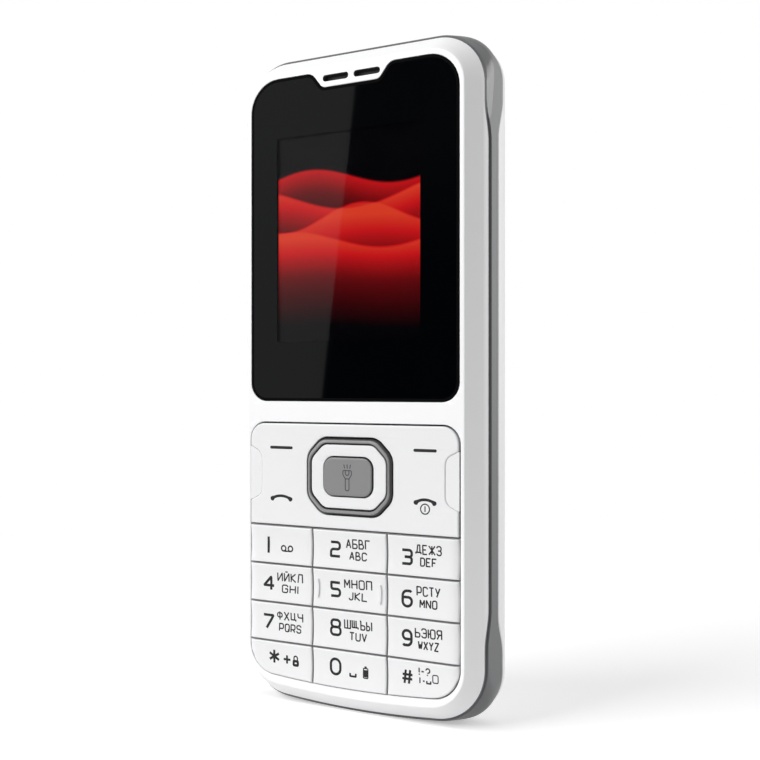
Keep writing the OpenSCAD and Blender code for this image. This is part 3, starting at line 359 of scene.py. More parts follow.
def finish(name, colour, rough, grain=5000.0, relief=0.05, spread=0.04, metal=0.0, specular=0.5,
           stretch=None):
    """Moulded, pressed or painted surface: colour and roughness drift a little over noise, and a fine
    grain gives the relief. A stretch draws both out into brush marks."""
    mat, tree, shader = bare(name)
    drift = 0.12
    fine = noise(tree, grain, stretch=stretch)
    feed(shader, Base_Color=clouded(tree, colour, spread, stretch), Metallic=metal,
         Specular_IOR_Level=specular,
         Roughness=between(tree, fine, rough * (1 - drift), rough * (1 + drift)))
    if relief:
        height = put(tree, "ShaderNodeBump", Height=fine, Strength=relief, Distance=0.00002)
        feed(shader, Normal=height.outputs["Normal"])
    return mat


def dress(material, *names):
    """Gives CAD nodes that stay as they are a finish."""
    for name in names:
        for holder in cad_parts[name].material_slots:
            holder.material = material


def window_ring(inset):
    """Outline of the window: round corners, and a notch with slanted sides in the top edge."""
    a, top, bottom, g = window_high[0], window_high[2], window_low[2], window_gap
    right = [[a, bottom], [a, top], [notch_half_w + g, top], [notch_floor_half_w + g, top - notch_d]]
    radii = [window_r_low - g, window_r_top - g, notch_r_mouth + g, notch_r_floor - g]
    return even_sided(right, radii, inset)


def key_ring(inset):
    """Outline of the key opening."""
    out = key_gap - inset
    return bowed(key_side + out, keys_low[2] - out, plate_high[2] + out, key_corner_low + out,
                 key_corner_top + out, key_bow_r + out)


white_plastic = finish("white_plastic", srgb(250, 250, 251), 0.34, relief=0.03, spread=0.012)
# Dark colour on the earpiece slots' walls: painted shade inside the slots.
slot_wall_painted_shade = finish("slot_wall_painted_shade", srgb(52, 52, 54), 0.7, relief=0.02, spread=0.1)
glass_mid = mid_mm("lcd_glass")[[0, 2]]
glass_size = (glass_high - glass_low)[[0, 2]]
glass_hole = oblong(*glass_mid, *(glass_size + 2 * window_gap), glass_r)
seam_t = seam(body_ring(0, 0)[:, 1], band_front, cheek_front)
quarter = ramp(5, 0, np.pi / 2)
shell_rows = [at(body_ring(side_bevel + face_edge_r * d, end_bevel + face_edge_r * d), face_edge_r * t)
              for d, t in zip(1 - np.sin(quarter), face_edge_flat * (1 - np.cos(quarter)))]
for f in ramp(bevel_steps, bevel_first):
    t = f * (seam_t - seam_edge_r)
    shell_rows.append(at(body_ring(side_inset(t), end_inset(t)), t))
shell_rows.append(at(body_ring(side_inset(seam_t) + seam_edge_r, end_inset(seam_t) + seam_edge_r), seam_t))
rim = body_ring(rim_w, end_bevel)
shell_rows += [at(rim, seam_t), at(rim, front_t)]
window_hole = mouth(lambda inset: window_ring(inset - window_gap), window_hole_r, 0, window_seat)
key_hole = mouth(key_ring, key_hole_r, 0, front_t)
slot_holes = [mouth(lambda inset: oblong(slot_shift + s * slot_spread / 2, slot_z, *slot_size, slot_r, inset),
                    slot_edge_r, 0, ear_wall) for s in (-1, 1)]
pocket = oblong(0, slot_z, *pocket_size, pocket_r)
piece("front_shell",
      [skin(shell_rows), skin(window_hole), skin(key_hole), *((*skin(rows), 1) for rows in slot_holes),
       cap(shell_rows[0], window_hole[0], key_hole[0], *(rows[0] for rows in slot_holes)),
       cap(window_hole[-1], at(glass_hole, window_seat)),
       skin([at(glass_hole, window_seat), at(glass_hole, front_t)]),
       cap(at(pocket, ear_wall), *(rows[-1] for rows in slot_holes)),
       skin([at(pocket, ear_wall), at(pocket, front_t)]),
       cap(at(rim, front_t), at(glass_hole, front_t), key_hole[-1], at(pocket, front_t))],
      [white_plastic, slot_wall_painted_shade], "root", ["front_housing"])

# Window
# A clear acrylic sheet, cut to shape and printed black except over the picture area,
# stuck into the seat of the front shell with a frame of tape, so that its face lies flush.
picture_x, picture_z, picture_w, picture_h = -0.8, 80.17, 28.03, 35.04
print_r, window_edge_r, matt_w = 0.15, 0.08, 0.5
print_edge = oblong(picture_x, picture_z, picture_w, picture_h, print_r)
window_back = window_high[1] - front_y
black_print = finish("black_print", srgb(3, 4, 6), 0.03, relief=0.0, spread=0.3)
matt_edge = finish("matt_edge", srgb(3, 3, 4), 0.8, relief=0.0, spread=0.3, specular=0.05)
clear_acrylic, tree, shader = bare("clear_acrylic")
smear = noise(tree, 60.0)
feed(shader, Transmission_Weight=1.0, IOR=1.49, Specular_Tint=srgb(188),
     Roughness=between(tree, smear, 0.0, 0.02),
     Base_Color=tint(tree, smear, (0.97, 0.98, 0.98, 1), (1, 1, 1, 1)))
window_rows = slab(window_ring, window_edge_r, 0.0, window_back)
window_front = at(window_ring(matt_w), 0)
piece("window",
      [cap(window_front, at(print_edge, 0)), (*cap(at(print_edge, 0)), 1),
       (*skin([window_front, *window_rows]), 2),
       cap(window_rows[-1], at(print_edge, window_back)), (*cap(at(print_edge, window_back)), 1)],
      [black_print, clear_acrylic, matt_edge], "root", ["display_window"])
black_foam = finish("black_foam", srgb(28), 0.95, grain=3500.0, relief=0.6, spread=0.4)
dress(black_foam, "window_adhesive", "display_gasket")

# Display
# A small colour panel: two sheets of glass with a dark border round the picture, lit from behind by a white
# plastic light guide and joined to the board by a flat amber lead.
panel_front, panel_back = glass_low[1] - front_y, glass_high[1] - front_y
lit_margin, lit_r, panel_edge_r = 0.6, 0.1, 0.06
lit_edge = oblong(picture_x, picture_z, picture_w + lit_margin, picture_h + lit_margin, lit_r)


def calc(tree, operation, *values):
    """Result of a sum on sockets and numbers."""
    node = tree.nodes.new("ShaderNodeMath")
    node.operation = operation
    for socket, value in zip(node.inputs, values):
        wire(socket, value)
    return node.outputs[0]


def panel_ring(inset):
    """Outline of the panel's glass."""
    return oblong(*glass_mid, *glass_size, glass_r, inset)


# The picture is rolling waves: each has a crest at level + swing sin(turn u + start), and its light is
# weight exp(-depth / fade) below the crest. The waves add up, and a ramp turns the sum into reds.
waves = ((0.79, 0.050, 5.2, 0.4, 0.13, 0.62), (0.70, 0.065, 4.1, 2.6, 0.15, 0.60),
         (0.60, 0.060, 5.9, 4.4, 0.16, 0.55), (0.49, 0.050, 4.6, 1.2, 0.12, 0.50))
crest_low, crest_high = -0.003, 0.012
lit_picture, tree, shader = bare("lit_picture")
across = place(tree, (1 / (picture_w * MM), 0, 1 / (picture_h * MM)),
               (0.5 - picture_x / picture_w, 0, 0.5 - picture_z / picture_h))
axes = put(tree, "ShaderNodeSeparateXYZ", Vector=across)
u, v = axes.outputs["X"], axes.outputs["Z"]
light = None
for level, swing, turn, start, fade, weight in waves:
    swell = calc(tree, "SINE", calc(tree, "MULTIPLY_ADD", u, turn, start))
    depth = calc(tree, "SUBTRACT", calc(tree, "MULTIPLY_ADD", swell, swing, level), v)
    edge = between(tree, depth, 0.0, weight, crest_low, crest_high)
    part = calc(tree, "MULTIPLY", edge, calc(tree, "EXPONENT", calc(tree, "MULTIPLY", depth, -1 / fade)))
    light = part if light is None else calc(tree, "ADD", light, part)
reds = put(tree, "ShaderNodeValToRGB", Fac=light)
reds.color_ramp.elements[0].color = srgb(3, 3, 5)
reds.color_ramp.elements[0].position = 0.05
reds.color_ramp.elements[1].color = srgb(214, 60, 38)
for stop, colour in ((0.25, srgb(96, 10, 14)), (0.6, srgb(196, 22, 26))):
    reds.color_ramp.elements.new(stop).color = colour
feed(shader, Emission_Color=reds.outputs["Color"], Emission_Strength=1.0, Base_Color=srgb(4),
     Specular_IOR_Level=0.05, Roughness=between(tree, noise(tree, 2000.0), 0.05, 0.1))
dark_border = finish("dark_border", srgb(10, 10, 12), 0.12, relief=0.0, spread=0.3, specular=0.1)
panel_rows = slab(panel_ring, panel_edge_r, panel_front, panel_back, 3)
piece("display_panel",
      [cap(panel_rows[0], at(lit_edge, panel_front)), (*cap(at(lit_edge, panel_front)), 1), skin(panel_rows),
       cap(panel_rows[-1])],
      [dark_border, lit_picture], "root", ["lcd_glass"])
white_film = finish("white_film", srgb(236, 236, 230), 0.5, relief=0.04)
amber_film = finish("amber_film", srgb(204, 148, 68), 0.35, relief=0.06, spread=0.2)
dress(white_film, "backlight_unit", "dome_film")
dress(amber_film, "lcd_flex")

# Earpiece
# A flat receiver in a tin-plated can behind a foam gasket, with a dark woven mesh across the two slots.
# They lie one behind the other, under the tongue of the front shell that fills the window's notch.
def woven(name, dark, light, pitch):
    """Cloth of round wires: two sets of sine waves, across and along, added for the height. The colour
    follows the height, as painted shade in the weave's hollows and painted light on its crowns.
    """
    mat, tree, shader = bare(name)
    own = put(tree, "ShaderNodeSeparateXYZ", Vector=place(tree))
    rate = 2 * math.pi / (pitch * MM)
    wires = [calc(tree, "SINE", calc(tree, "MULTIPLY", own.outputs[axis], rate)) for axis in "XZ"]
    height = between(tree, calc(tree, "ADD", *wires), 0.0, 1.0, -2.0, 2.0)
    relief = put(tree, "ShaderNodeBump", Height=height, Strength=0.6, Distance=0.00005)
    # Colour from dark to light with the height: painted shade in the hollows, painted light on the wire
    # crowns.
    feed(shader, Base_Color=tint(tree, height, dark, light), Roughness=between(tree, height, 0.6, 0.4),
         Normal=relief.outputs["Normal"])
    return mat


dark_mesh = woven("dark_mesh", srgb(8), srgb(50), 0.3)
steel = finish("pressed_steel", srgb(196, 196, 194), 0.32, grain=2500.0, relief=0.1, spread=0.1, metal=1.0,
               stretch=(1, 1, 12))
dress(dark_mesh, "earpiece_mesh", "speaker_mesh")
dress(steel, "earpiece_speaker")
dress(black_foam, "earpiece_gasket")

# Function plate
# One white key plate, moulded and stuck to its rubber: two soft keys and the call and end keys in its
# corners, a hole for the navigation key, a shallow tab at each side, and the key signs printed in dark ink.
white_key_plastic = finish("white_key_plastic", srgb(236, 236, 237), 0.4, relief=0.03, spread=0.012)
# Grey on the lower part of every key's wall: painted shade down in the gaps between the keys.
key_wall_painted_shade = finish("key_wall_painted_shade", srgb(178), 0.6, relief=0.05)
key_finishes = [white_key_plastic, key_wall_painted_shade]
key_edge_r, key_trim = 0.25, 0.06
ledge_w, ledge_t = 0.12, 0.32
nav_low, nav_high = box_mm("nav_ring")
nav_z = mid_mm("nav_ring")[2]
nav_cut, nav_r, nav_trim = 2.9, 3.0, 0.13
plate_lower, plate_r_low, plate_hole_r = 0.2, 0.25, 0.15
plate_face = plate_low[1] - front_y + plate_lower
key_back = plate_high[1] - front_y
tab_w, tab_h, tab_inner_h, tab_drop = 2.3, 9.4, 7.2, 0.14
tab_r, tab_step_r, tab_end_r, tab_overlap = 1.8, 0.5, 0.05, 0.02


def octagon(low, high, cut, r, inset=0.0):
    """Rectangle between two corners with its own corners cut off and rounded."""
    x, z = (low + high)[[0, 2]] / 2
    a, b = (high - low)[[0, 2]] / 2
    points = [[x + a, z - b + cut], [x + a, z + b - cut], [x + a - cut, z + b], [x - a + cut, z + b],
              [x - a, z + b - cut], [x - a, z - b + cut], [x - a + cut, z - b], [x + a - cut, z - b]]
    return rounded(points, [r] * 8, inset)


def ring_outer(inset):
    """Outer outline of the navigation ring."""
    return octagon(nav_low, nav_high, nav_cut, nav_r, inset + nav_trim)


def tab_side(inner, outer):
    """The four corners of a side tab, from the plate's lower edge up."""
    return [[outer, nav_z - tab_h / 2], [inner, nav_z - tab_inner_h / 2], [inner, nav_z + tab_inner_h / 2],
            [outer, nav_z + tab_h / 2]]


def plate_ring(inset):
    """Outline of the function plate's upper face, which steps in round the two side tabs."""
    right = [[key_side, plate_low[2]], *tab_side(key_side - tab_w, key_side), [key_side, plate_high[2]]]
    radii = [plate_r_low, tab_step_r, tab_r, tab_r, tab_step_r, key_corner_top]
    return even_sided(right, radii, inset + key_trim)


def tab_ring(side, inset):
    """Outline of one side tab, inside its step in the plate."""
    points = np.array(tab_side(key_side - tab_w, key_side))[[0, 3, 2, 1]]
    radii = [tab_end_r, tab_end_r, tab_r, tab_r]
    if side < 0:
        return rounded((points * [-1, 1])[::-1], radii[::-1], inset)
    return rounded(points, radii, inset)


def holed_key(rows, hole):
    """Patches of a key with a hole through it. The walls of both have the second finish, a grey that paints
    the shade in the gaps.
    """
    return [skin(rows[:-1]), (*skin(rows[-2:]), 1), skin(hole[:-1]), (*skin(hole[-2:]), 1),
            cap(rows[0], hole[0]), cap(rows[-1], hole[-1])]


plate_hole = mouth(lambda inset: ring_outer(inset - key_gap), plate_hole_r, plate_face, key_back)
piece("function_plate_face", holed_key(slab(plate_ring, key_edge_r, plate_face, key_back), plate_hole),
      key_finishes, "function_plate", ["function_plate"])
for side, word in ((-1, "left"), (1, "right")):
    tab_rows = [at(tab_ring(side, -tab_overlap), t) for t in (plate_face + tab_drop, ledge_t, key_back)]
    piece(f"function_tab_{word}",
          # The tab's wall below the ledge takes the grey painted shade.
          [cap(tab_rows[0]), skin(tab_rows[:2]), (*skin(tab_rows[1:]), 1), cap(tab_rows[-1])],
          key_finishes, "function_plate", ())

INK_UP, INK_IN = 0.012, 0.05
LINE_POINTS = 33
FAR_POINTS, TIGHT_R = [(911, 577), (-733, 401)], 0.05
key_ink = finish("key_ink", srgb(12, 12, 14), 0.75, relief=0.02, spread=0.25)


def bent(points, radii=()):
    """Open path through points, with an arc at each point between its ends. Two far points close the loop
    for the arcs, and their own arcs are left off."""
    p = np.asarray(points, float)
    if len(p) < 3:
        return p
    arcs = corner_arcs(np.concatenate([p, FAR_POINTS]), [TIGHT_R, *radii, TIGHT_R, TIGHT_R, TIGHT_R])
    return np.concatenate([p[:1], arcs[1:-3].reshape(-1, 2), p[-1:]])


def ink(path, width, surface, closed=False, up=INK_UP):
    """Printed or raised line: a flat section carried along a path, from just above a key's face to just
    inside it. The width may be an array, and surface gives the depth of the face at a place."""
    p = np.asarray(path, float)
    ahead, behind = np.roll(p, -1, 0), np.roll(p, 1, 0)
    if not closed:
        ahead[-1], behind[0] = p[-1], p[0]
    way = (ahead - behind) / np.linalg.norm(ahead - behind, axis=1)[:, None]
    side = np.stack([-way[:, 1], way[:, 0]], 1) * np.reshape(width, (-1, 1)) / 2
    corners = ((p + side, -up), (p - side, -up), (p - side, INK_IN), (p + side, INK_IN))
    rows = np.stack([at(edge, surface(*edge.T) + d) for edge, d in corners], 1)
    if closed:
        return skin(np.concatenate([rows, rows[:1]]))
    points, faces = skin(rows)
    last = len(points) - 4
    return points, np.concatenate([faces, [[0, 1, 2, 3], [last + 3, last + 2, last + 1, last]]])


def circle(x, z, r, first=0.0, last=2 * np.pi):
    """Points round a circle, or along an arc of it."""
    angle = np.linspace(first, last, LINE_POINTS)
    if np.isclose(last - first, 2 * np.pi):
        angle = angle[:-1]
    return np.stack([x + r * np.cos(angle), z + r * np.sin(angle)], 1)


def blunt(path, width):
    """Widths along a path, rounded off at both ends, down to a tenth."""
    run = np.concatenate([[0], np.cumsum(np.linalg.norm(np.diff(path, axis=0), axis=1))])
    to_end = np.minimum(run, run[-1] - run)
    return width * np.sqrt(np.maximum(1 - np.clip(1 - 2 * to_end / np.max(width), 0, 1) ** 2, 0.01))


def flat(depth):
    """Surface that lies at one depth."""
    return lambda x, z: np.full(np.shape(x), depth)


# A soft key's sign is a dash, and a call key's an arch on a sine and a cosine, swollen at its ends. A place
# gives the middle across, the heights of the two signs, and half their width.
sign_places = ((-13.65, 44.5, 35.4, 2.35), (14.25, 44.75, 36.1, 2.1))
dash_line = 0.5
arch_turn, arch_h, arch_drop, arch_line = 1.15, 1.35, 0.55, 0.46
swell_line, swell_first, swell_rate = 0.42, 0.5, 2.6
power_x, power_z, power_r, power_bar, power_line = 14.25, 35.4, 0.8, 0.45, 0.2
along = np.sin(np.linspace(-np.pi / 2, np.pi / 2, LINE_POINTS))
arch_w = arch_line + swell_line * ease(swell_rate * (np.abs(along) - swell_first))
plate_signs = []
for sign_x, soft_z, call_z, sign_w in sign_places:
    dash = np.stack([sign_x + sign_w * along, np.full(LINE_POINTS, soft_z)], 1)
    arch_z = call_z - arch_drop + arch_h * np.cos(arch_turn * along)
    arch = np.stack([sign_x + sign_w * np.sin(arch_turn * along), arch_z], 1)
    plate_signs += [ink(dash, blunt(dash, dash_line), flat(plate_face)),
                    ink(arch, blunt(arch, arch_w), flat(plate_face))]
power_stroke = [(power_x, power_z - power_bar), (power_x, power_z + power_bar)]
plate_signs += [ink(circle(power_x, power_z, power_r), power_line, flat(plate_face), True),
                ink(power_stroke, power_line, flat(plate_face))]
piece("function_signs", plate_signs, [key_ink], "function_plate", ())

# Navigation key
# A ring with a grey metallic coat, pressed round a white rocker pad, and a separate grey key in the middle
# with a torch drawn on it in thin lines. Down the flanks of both, the coat's colour is painted darker as
# painted shade.
def flank_shade_coat(name, colour, flank, face, rough, metal, first, last):
    """Coat that goes from one colour to a darker one, and from satin to metal, between two depths under a
    key's face. The darker colour down the flanks is painted shade."""
    mat, tree, shader = bare(name)
    drift = 0.1
    depth = put(tree, "ShaderNodeSeparateXYZ", Vector=place(tree)).outputs["Y"]
    down = between(tree, depth, 0.0, 1.0, (front_y + face + first) * MM, (front_y + face + last) * MM)
    feed(shader, Base_Color=tint(tree, down, clouded(tree, colour, spread=0.05), flank),
         Roughness=between(tree, noise(tree, 9000.0), rough * (1 - drift), rough * (1 + drift)),
         Metallic=calc(tree, "MULTIPLY", down, metal))
    return mat


pad_low, pad_high = box_mm("nav_pad")
centre_low, centre_high = box_mm("centre_key")
centre_lower, centre_trim, centre_r, centre_edge_r = 0.02, [0.26, 0.5], 1.8, 0.25
ring_face, pad_face = nav_low[1] - front_y, pad_low[1] - front_y
centre_face = centre_low[1] - front_y + centre_lower
centre_mid = mid_mm("centre_key")[[0, 2]]
centre_size = (centre_high - centre_low)[[0, 2]] - centre_trim
pad_cut, pad_r, pad_edge_r, pad_hole_r = 2.4, 2.1, 0.15, 0.12
ring_slope, ring_drop, ring_lip, ring_dip, ring_curve = 0.42, 0.6, 0.3, 0.45, 1.25
# The darker greys down the flanks of the ring and the centre key are painted shade.
ring_coat_painted_shade = flank_shade_coat("ring_coat_painted_shade", srgb(146), srgb(70), ring_face, 0.32, 0.8, 0.03, 0.2)
centre_coat_painted_shade = flank_shade_coat("centre_coat_painted_shade", srgb(133, 133, 134), srgb(62), centre_face, 0.4, 0.6, 0.08, 0.26)


def ring_inner(inset):
    """Outline of the pad, inside the navigation ring."""
    return octagon(pad_low, pad_high, pad_cut, pad_r, inset)


def centre_ring(inset):
    """Outline of the centre key."""
    return oblong(*centre_mid, *centre_size, centre_r, inset)


ring_rows = [at(ring_outer(0), key_back)]
ring_rows += [at(ring_outer(ring_slope * f), ring_face + ring_drop * (1 - f) ** ring_curve) for f in ramp(9)]
ring_rows += [at(ring_inner(-key_gap / 2 - ring_lip * (1 - f)), ring_face + ring_dip * f ** ring_curve)
              for f in ramp(7)]
ring_rows.append(at(ring_inner(-key_gap / 2), key_back))
piece("nav_ring_face", [skin(ring_rows + ring_rows[:1])], [ring_coat_painted_shade], "nav_key", ["nav_ring"])
pad_hole = mouth(lambda inset: centre_ring(inset - key_gap), pad_hole_r, pad_face, key_back)
piece("nav_pad_face", holed_key(slab(ring_inner, pad_edge_r, pad_face, key_back), pad_hole),
      key_finishes, "nav_key", ["nav_pad"])
piece("centre_key_face", closed_up(slab(centre_ring, centre_edge_r, centre_face, key_back)), [centre_coat_painted_shade],
      "centre_key", ["centre_key"])
fine_ink = finish("fine_ink", srgb(66, 66, 68), 0.5, relief=0.02, spread=0.15)
torch_line = 0.17
torch_paths = (
    ([(-0.36, -0.3), (-0.83, 0.4), (-0.83, 1.08), (0.83, 1.08), (0.83, 0.4), (0.36, -0.3)],
     [0.35, 0.25, 0.25, 0.35]),
    ([(-0.36, -0.3), (-0.36, -2.25), (0.36, -2.25), (0.36, -0.3)], [0.3, 0.3]),
    ([(-0.36, -0.3), (0.36, -0.3)], ()),
    ([(-0.35, 1.0), (-0.35, 0.3), (0.35, 0.3), (0.35, 1.0)], [0.3, 0.3]),
    ([(0, 1.42), (0, 2.1)], ()),
    ([(-0.5, 1.42), (-0.64, 2.08)], ()),
    ([(0.5, 1.42), (0.64, 2.08)], ()))
piece("centre_key_sign",
      [ink(bent(points + centre_mid, bends), torch_line, flat(centre_face)) for points, bends in torch_paths],
      [fine_ink], "centre_key", ())

# Number keys
# Twelve white keys, moulded in one sheet and cut apart, each with a shallow hollow across its face,
# a softly rounded edge, and its number, letters or signs printed in dark ink.
key_face, key_dish = -0.5, 0.25
key_fall, key_fall_w = 0.25, 1.0
row_pitch, column_pitch = 6.67, 13.7
last_row_up, last_row_lift = 3.25, 0.15
last_row_mid = keys_low[2] - key_gap + last_row_up
steps_across, steps_up = 16, 14
bar_x, bar_r, bar_turn, bar_line, bar_up = 6.05, 8.0, 0.19, 0.42, 0.28


def key_floor(x):
    """Height of the key block's lower outline: a wide arc, and a corner arc towards each side."""
    low, r = keys_low[2], key_corner_low
    cx, reach = key_side - r, key_bow_r - r
    cz = low + key_bow_r - math.sqrt(reach ** 2 - cx ** 2)
    arc = low + key_bow_r - np.sqrt(key_bow_r ** 2 - x ** 2)
    corner = cz - np.sqrt(np.maximum(r ** 2 - np.maximum(np.abs(x) - cx, 0) ** 2, 0))
    return np.where(np.abs(x) < cx * key_bow_r / reach, arc, corner)


def edge_steps(length, count):
    """Shares of a length with close steps within the rounded edge at both ends."""
    close = key_edge_r * (1 - np.cos(ramp(5, 0, np.pi / 2)))
    middle = ramp(count, key_edge_r, length - key_edge_r)[1:-1]
    return np.concatenate([close, middle, length - close[::-1]]) / length


def key_grid(low, high, last_row, spread):
    """Points over a key's outline, spread outwards by a distance, and the height of its lower edge, which
    follows the key block's outline in the last row."""
    across = low[0] - spread + (high[0] - low[0] + 2 * spread) * edge_steps(high[0] - low[0], steps_across)
    under = (key_floor(across) if last_row else np.full_like(across, low[2])) - spread
    upright = under + (high[2] + spread - under) * edge_steps(high[2] - low[2], steps_up)[:, None]
    return np.broadcast_to(across, upright.shape), upright, under


def key_rim(x, t, z):
    """Loop of points round the rim of a key's grid."""
    grid = np.stack([x, front_y + t, z], -1)
    return np.concatenate([grid[0, :-1], grid[:-1, -1], grid[-1, :0:-1], grid[:0:-1, 0]])


def hollow_about(mid):
    """Depth of a key's face at a place: a parabola across the height of its row."""
    return lambda x, z: key_face + key_dish * (1 - ((z - mid) / (row_pitch / 2)) ** 2)


# Letters are lines through points of a grid, written as two figures each, across and up: six steps make a
# capital's height, an o after a point rounds the bend there, and a blank starts the next line.
GLYPHS = {entry[0]: entry[2:] for entry in """A 00-26-40 12-32
B 03-33o-36o-06-00-40o-43o-33
C 45-46o-06o-00o-40o-41
D 00-06-46o-40o-00
E 40-00-06-46 03-33
F 00-06-46 03-33
G 45-46o-06o-00o-40o-43-23
H 00-06 40-46 03-43
I 00-06
J 01-00o-30o-36
K 00-06 46-03-40
L 06-00-40
M 00-06-22-46-40
N 00-06-40-46
O 03-06o-46o-40o-00o-03
P 00-06-46o-42o-02
Q 03-06o-46o-40o-00o-03 32-40
R 00-06-46o-42o-02 22-40
S 45-46o-06o-03o-43o-40o-00o-01
T 06-46 26-20
U 06-00o-40o-46
V 06-20-46
W 06-10-24-30-46
X 00-46 06-40
Y 06-23-46 23-20
Z 06-46-00-40
Б 46-06-00-40o-43o-03
Г 00-06-46
Д 00-01-51-50 11-26-46-41
Ж 30-36 06-33-00 66-33-60
З 05-06o-46o-43o-13 13-43o-40o-00o-01
И 06-00-46-40
Й 06-00-46-40 17-37
Л 00-16-46-40
П 00-06-46-40
У 06-22 46-10
Ф 20-26 25-05o-02o-42o-45o-25
Ц 06-01-41-40 36-31
Ч 06-03o-43 46-40
Ш 06-00-60-66 36-30
Щ 06-01-61-60 26-21 46-41
Ъ 06-16-10-50o-53o-13
Ы 06-00-30o-33o-03 56-50
Ь 06-00-40o-43o-03
Э 05-06o-46o-40o-00o-01 13-43
Ю 00-06 03-23 23-26o-66o-60o-20o-23
Я 40-46-06o-03o-43 23-00
! 06-02 01-00
? 05-06o-36o-33o-12 11-10
- 03-23""".split("\n")}
GLYPHS |= {twin: GLYPHS[letter] for twin, letter in zip("АВЕКМНОРСТХ", "ABEKMHOPCTX")}
letter_line, letter_gap, letter_steps = 0.23, 1.9, 6
letter_bend, letter_sharp = 0.3, 0.03
upper_h, upper_up, lower_h, lower_down = 1.42, 1.16, 1.24, 0.82


def lettering(words, height, width, x, z, surface):
    """Lines of a row of letters set to a height and a width about a point."""
    drawn = [[line.split("-") for line in GLYPHS[letter].split()] for letter in words]
    spread = [max(int(spot[0]) for spots in letter for spot in spots) for letter in drawn]
    step = width / (sum(spread) + letter_gap * (len(words) - 1))
    left = x - width / 2
    lines = []
    for letter, across in zip(drawn, spread):
        for spots in letter:
            points = [(left + step * int(spot[0]), z + height * (int(spot[1]) / letter_steps - 0.5))
                      for spot in spots]
            bends = [letter_bend if spot.endswith("o") else letter_sharp for spot in spots[1:-1]]
            lines.append(ink(bent(points, bends), letter_line, surface))
        left += step * (across + letter_gap)
    return lines


# Numbers are lines through points in units of a number's width and height, each with the radii of its bends
# in millimetres. A closed line is a rectangle given by its lower left and upper right corners.
digit_w, digit_h, digit_line = 1.72, 2.55, 0.45
DIGITS = {
    "1": [([(0.56, -0.1), (0.56, 1)], [])],
    "2": [([(0.04, 0.99), (1.04, 0.99), (1.04, 0.53), (0.04, 0.53), (0.04, 0.07), (1.06, 0.07)],
           [0.5, 0.5, 0.5, 0.06])],
    "3": [([(0, 0.86), (1, 0.86), (1, 0.43), (0.25, 0.43)], [0.45, 0.45]),
          ([(0.25, 0.43), (1, 0.43), (1, 0), (0, 0)], [0.45, 0.45])],
    "4": [([(0.88, 0.02), (0.88, 0.9), (0.02, 0.31), (1.22, 0.31)], [0.04, 0.04])],
    "5": [([(1.06, 0.96), (0.08, 0.96), (0.08, 0.53), (1.06, 0.53), (1.06, 0.08), (0.06, 0.08)],
           [0.05, 0.3, 0.5, 0.5])],
    "6": [([(0.95, 0.82), (0.86, 0.9), (0.04, 0.9), (0.04, -0.07), (1, -0.07), (1, 0.49), (0.06, 0.49)],
           [0.15, 0.83, 0.8, 0.75, 0.6])],
    "7": [([(-0.03, 0.91), (1.16, 0.91), (0.32, 0.02)], [0.08])],
    "8": [((0.04, 0.15, 1.12, 0.66), 0.58), ((0.1, 0.66, 1.06, 1.13), 0.52)],
    "9": [([(0.1, 0.16), (0.2, 0.08), (0.97, 0.08), (0.97, 1.01), (0.07, 1.01), (0.07, 0.47), (0.96, 0.47)],
           [0.15, 0.77, 0.75, 0.7, 0.6])],
    "0": [((0.02, 0.09, 1.1, 1.09), 0.92)],
}
# Each key's letters: the upper row and its width, then the lower row and its width.
LETTERS = {"2": ("АБВГ", 4.5, "ABC", 3.2), "3": ("ДЕЖЗ", 4.55, "DEF", 2.8), "4": ("ИЙКЛ", 5.1, "GHI", 3.2),
           "5": ("МНОП", 5.2, "JKL", 3.4), "6": ("РСТУ", 4.1, "MNO", 3.0), "7": ("ФХЦЧ", 5.2, "PQRS", 4.4),
           "8": ("ШЩЪЫ", 5.2, "TUV", 3.2), "9": ("ЬЭЮЯ", 4.7, "WXYZ", 3.6)}
digit_shift = -2.75
letter_shift = (1.85, 1.75, 1.15)


def digit(figure, x, z, surface):
    """Lines of one number about a point."""
    size = np.array([digit_w, digit_h])
    corner = np.array([x, z]) - size / 2
    lines = []
    for points, bend in DIGITS[figure]:
        closed = isinstance(points, tuple)
        if closed:
            low, high = corner + size * points[:2], corner + size * points[2:]
            path = oblong(*(low + high) / 2, *(high - low), bend)
        else:
            path = bent(corner + size * np.array(points), bend)
        lines.append(ink(path, digit_line, surface, closed))
    return lines


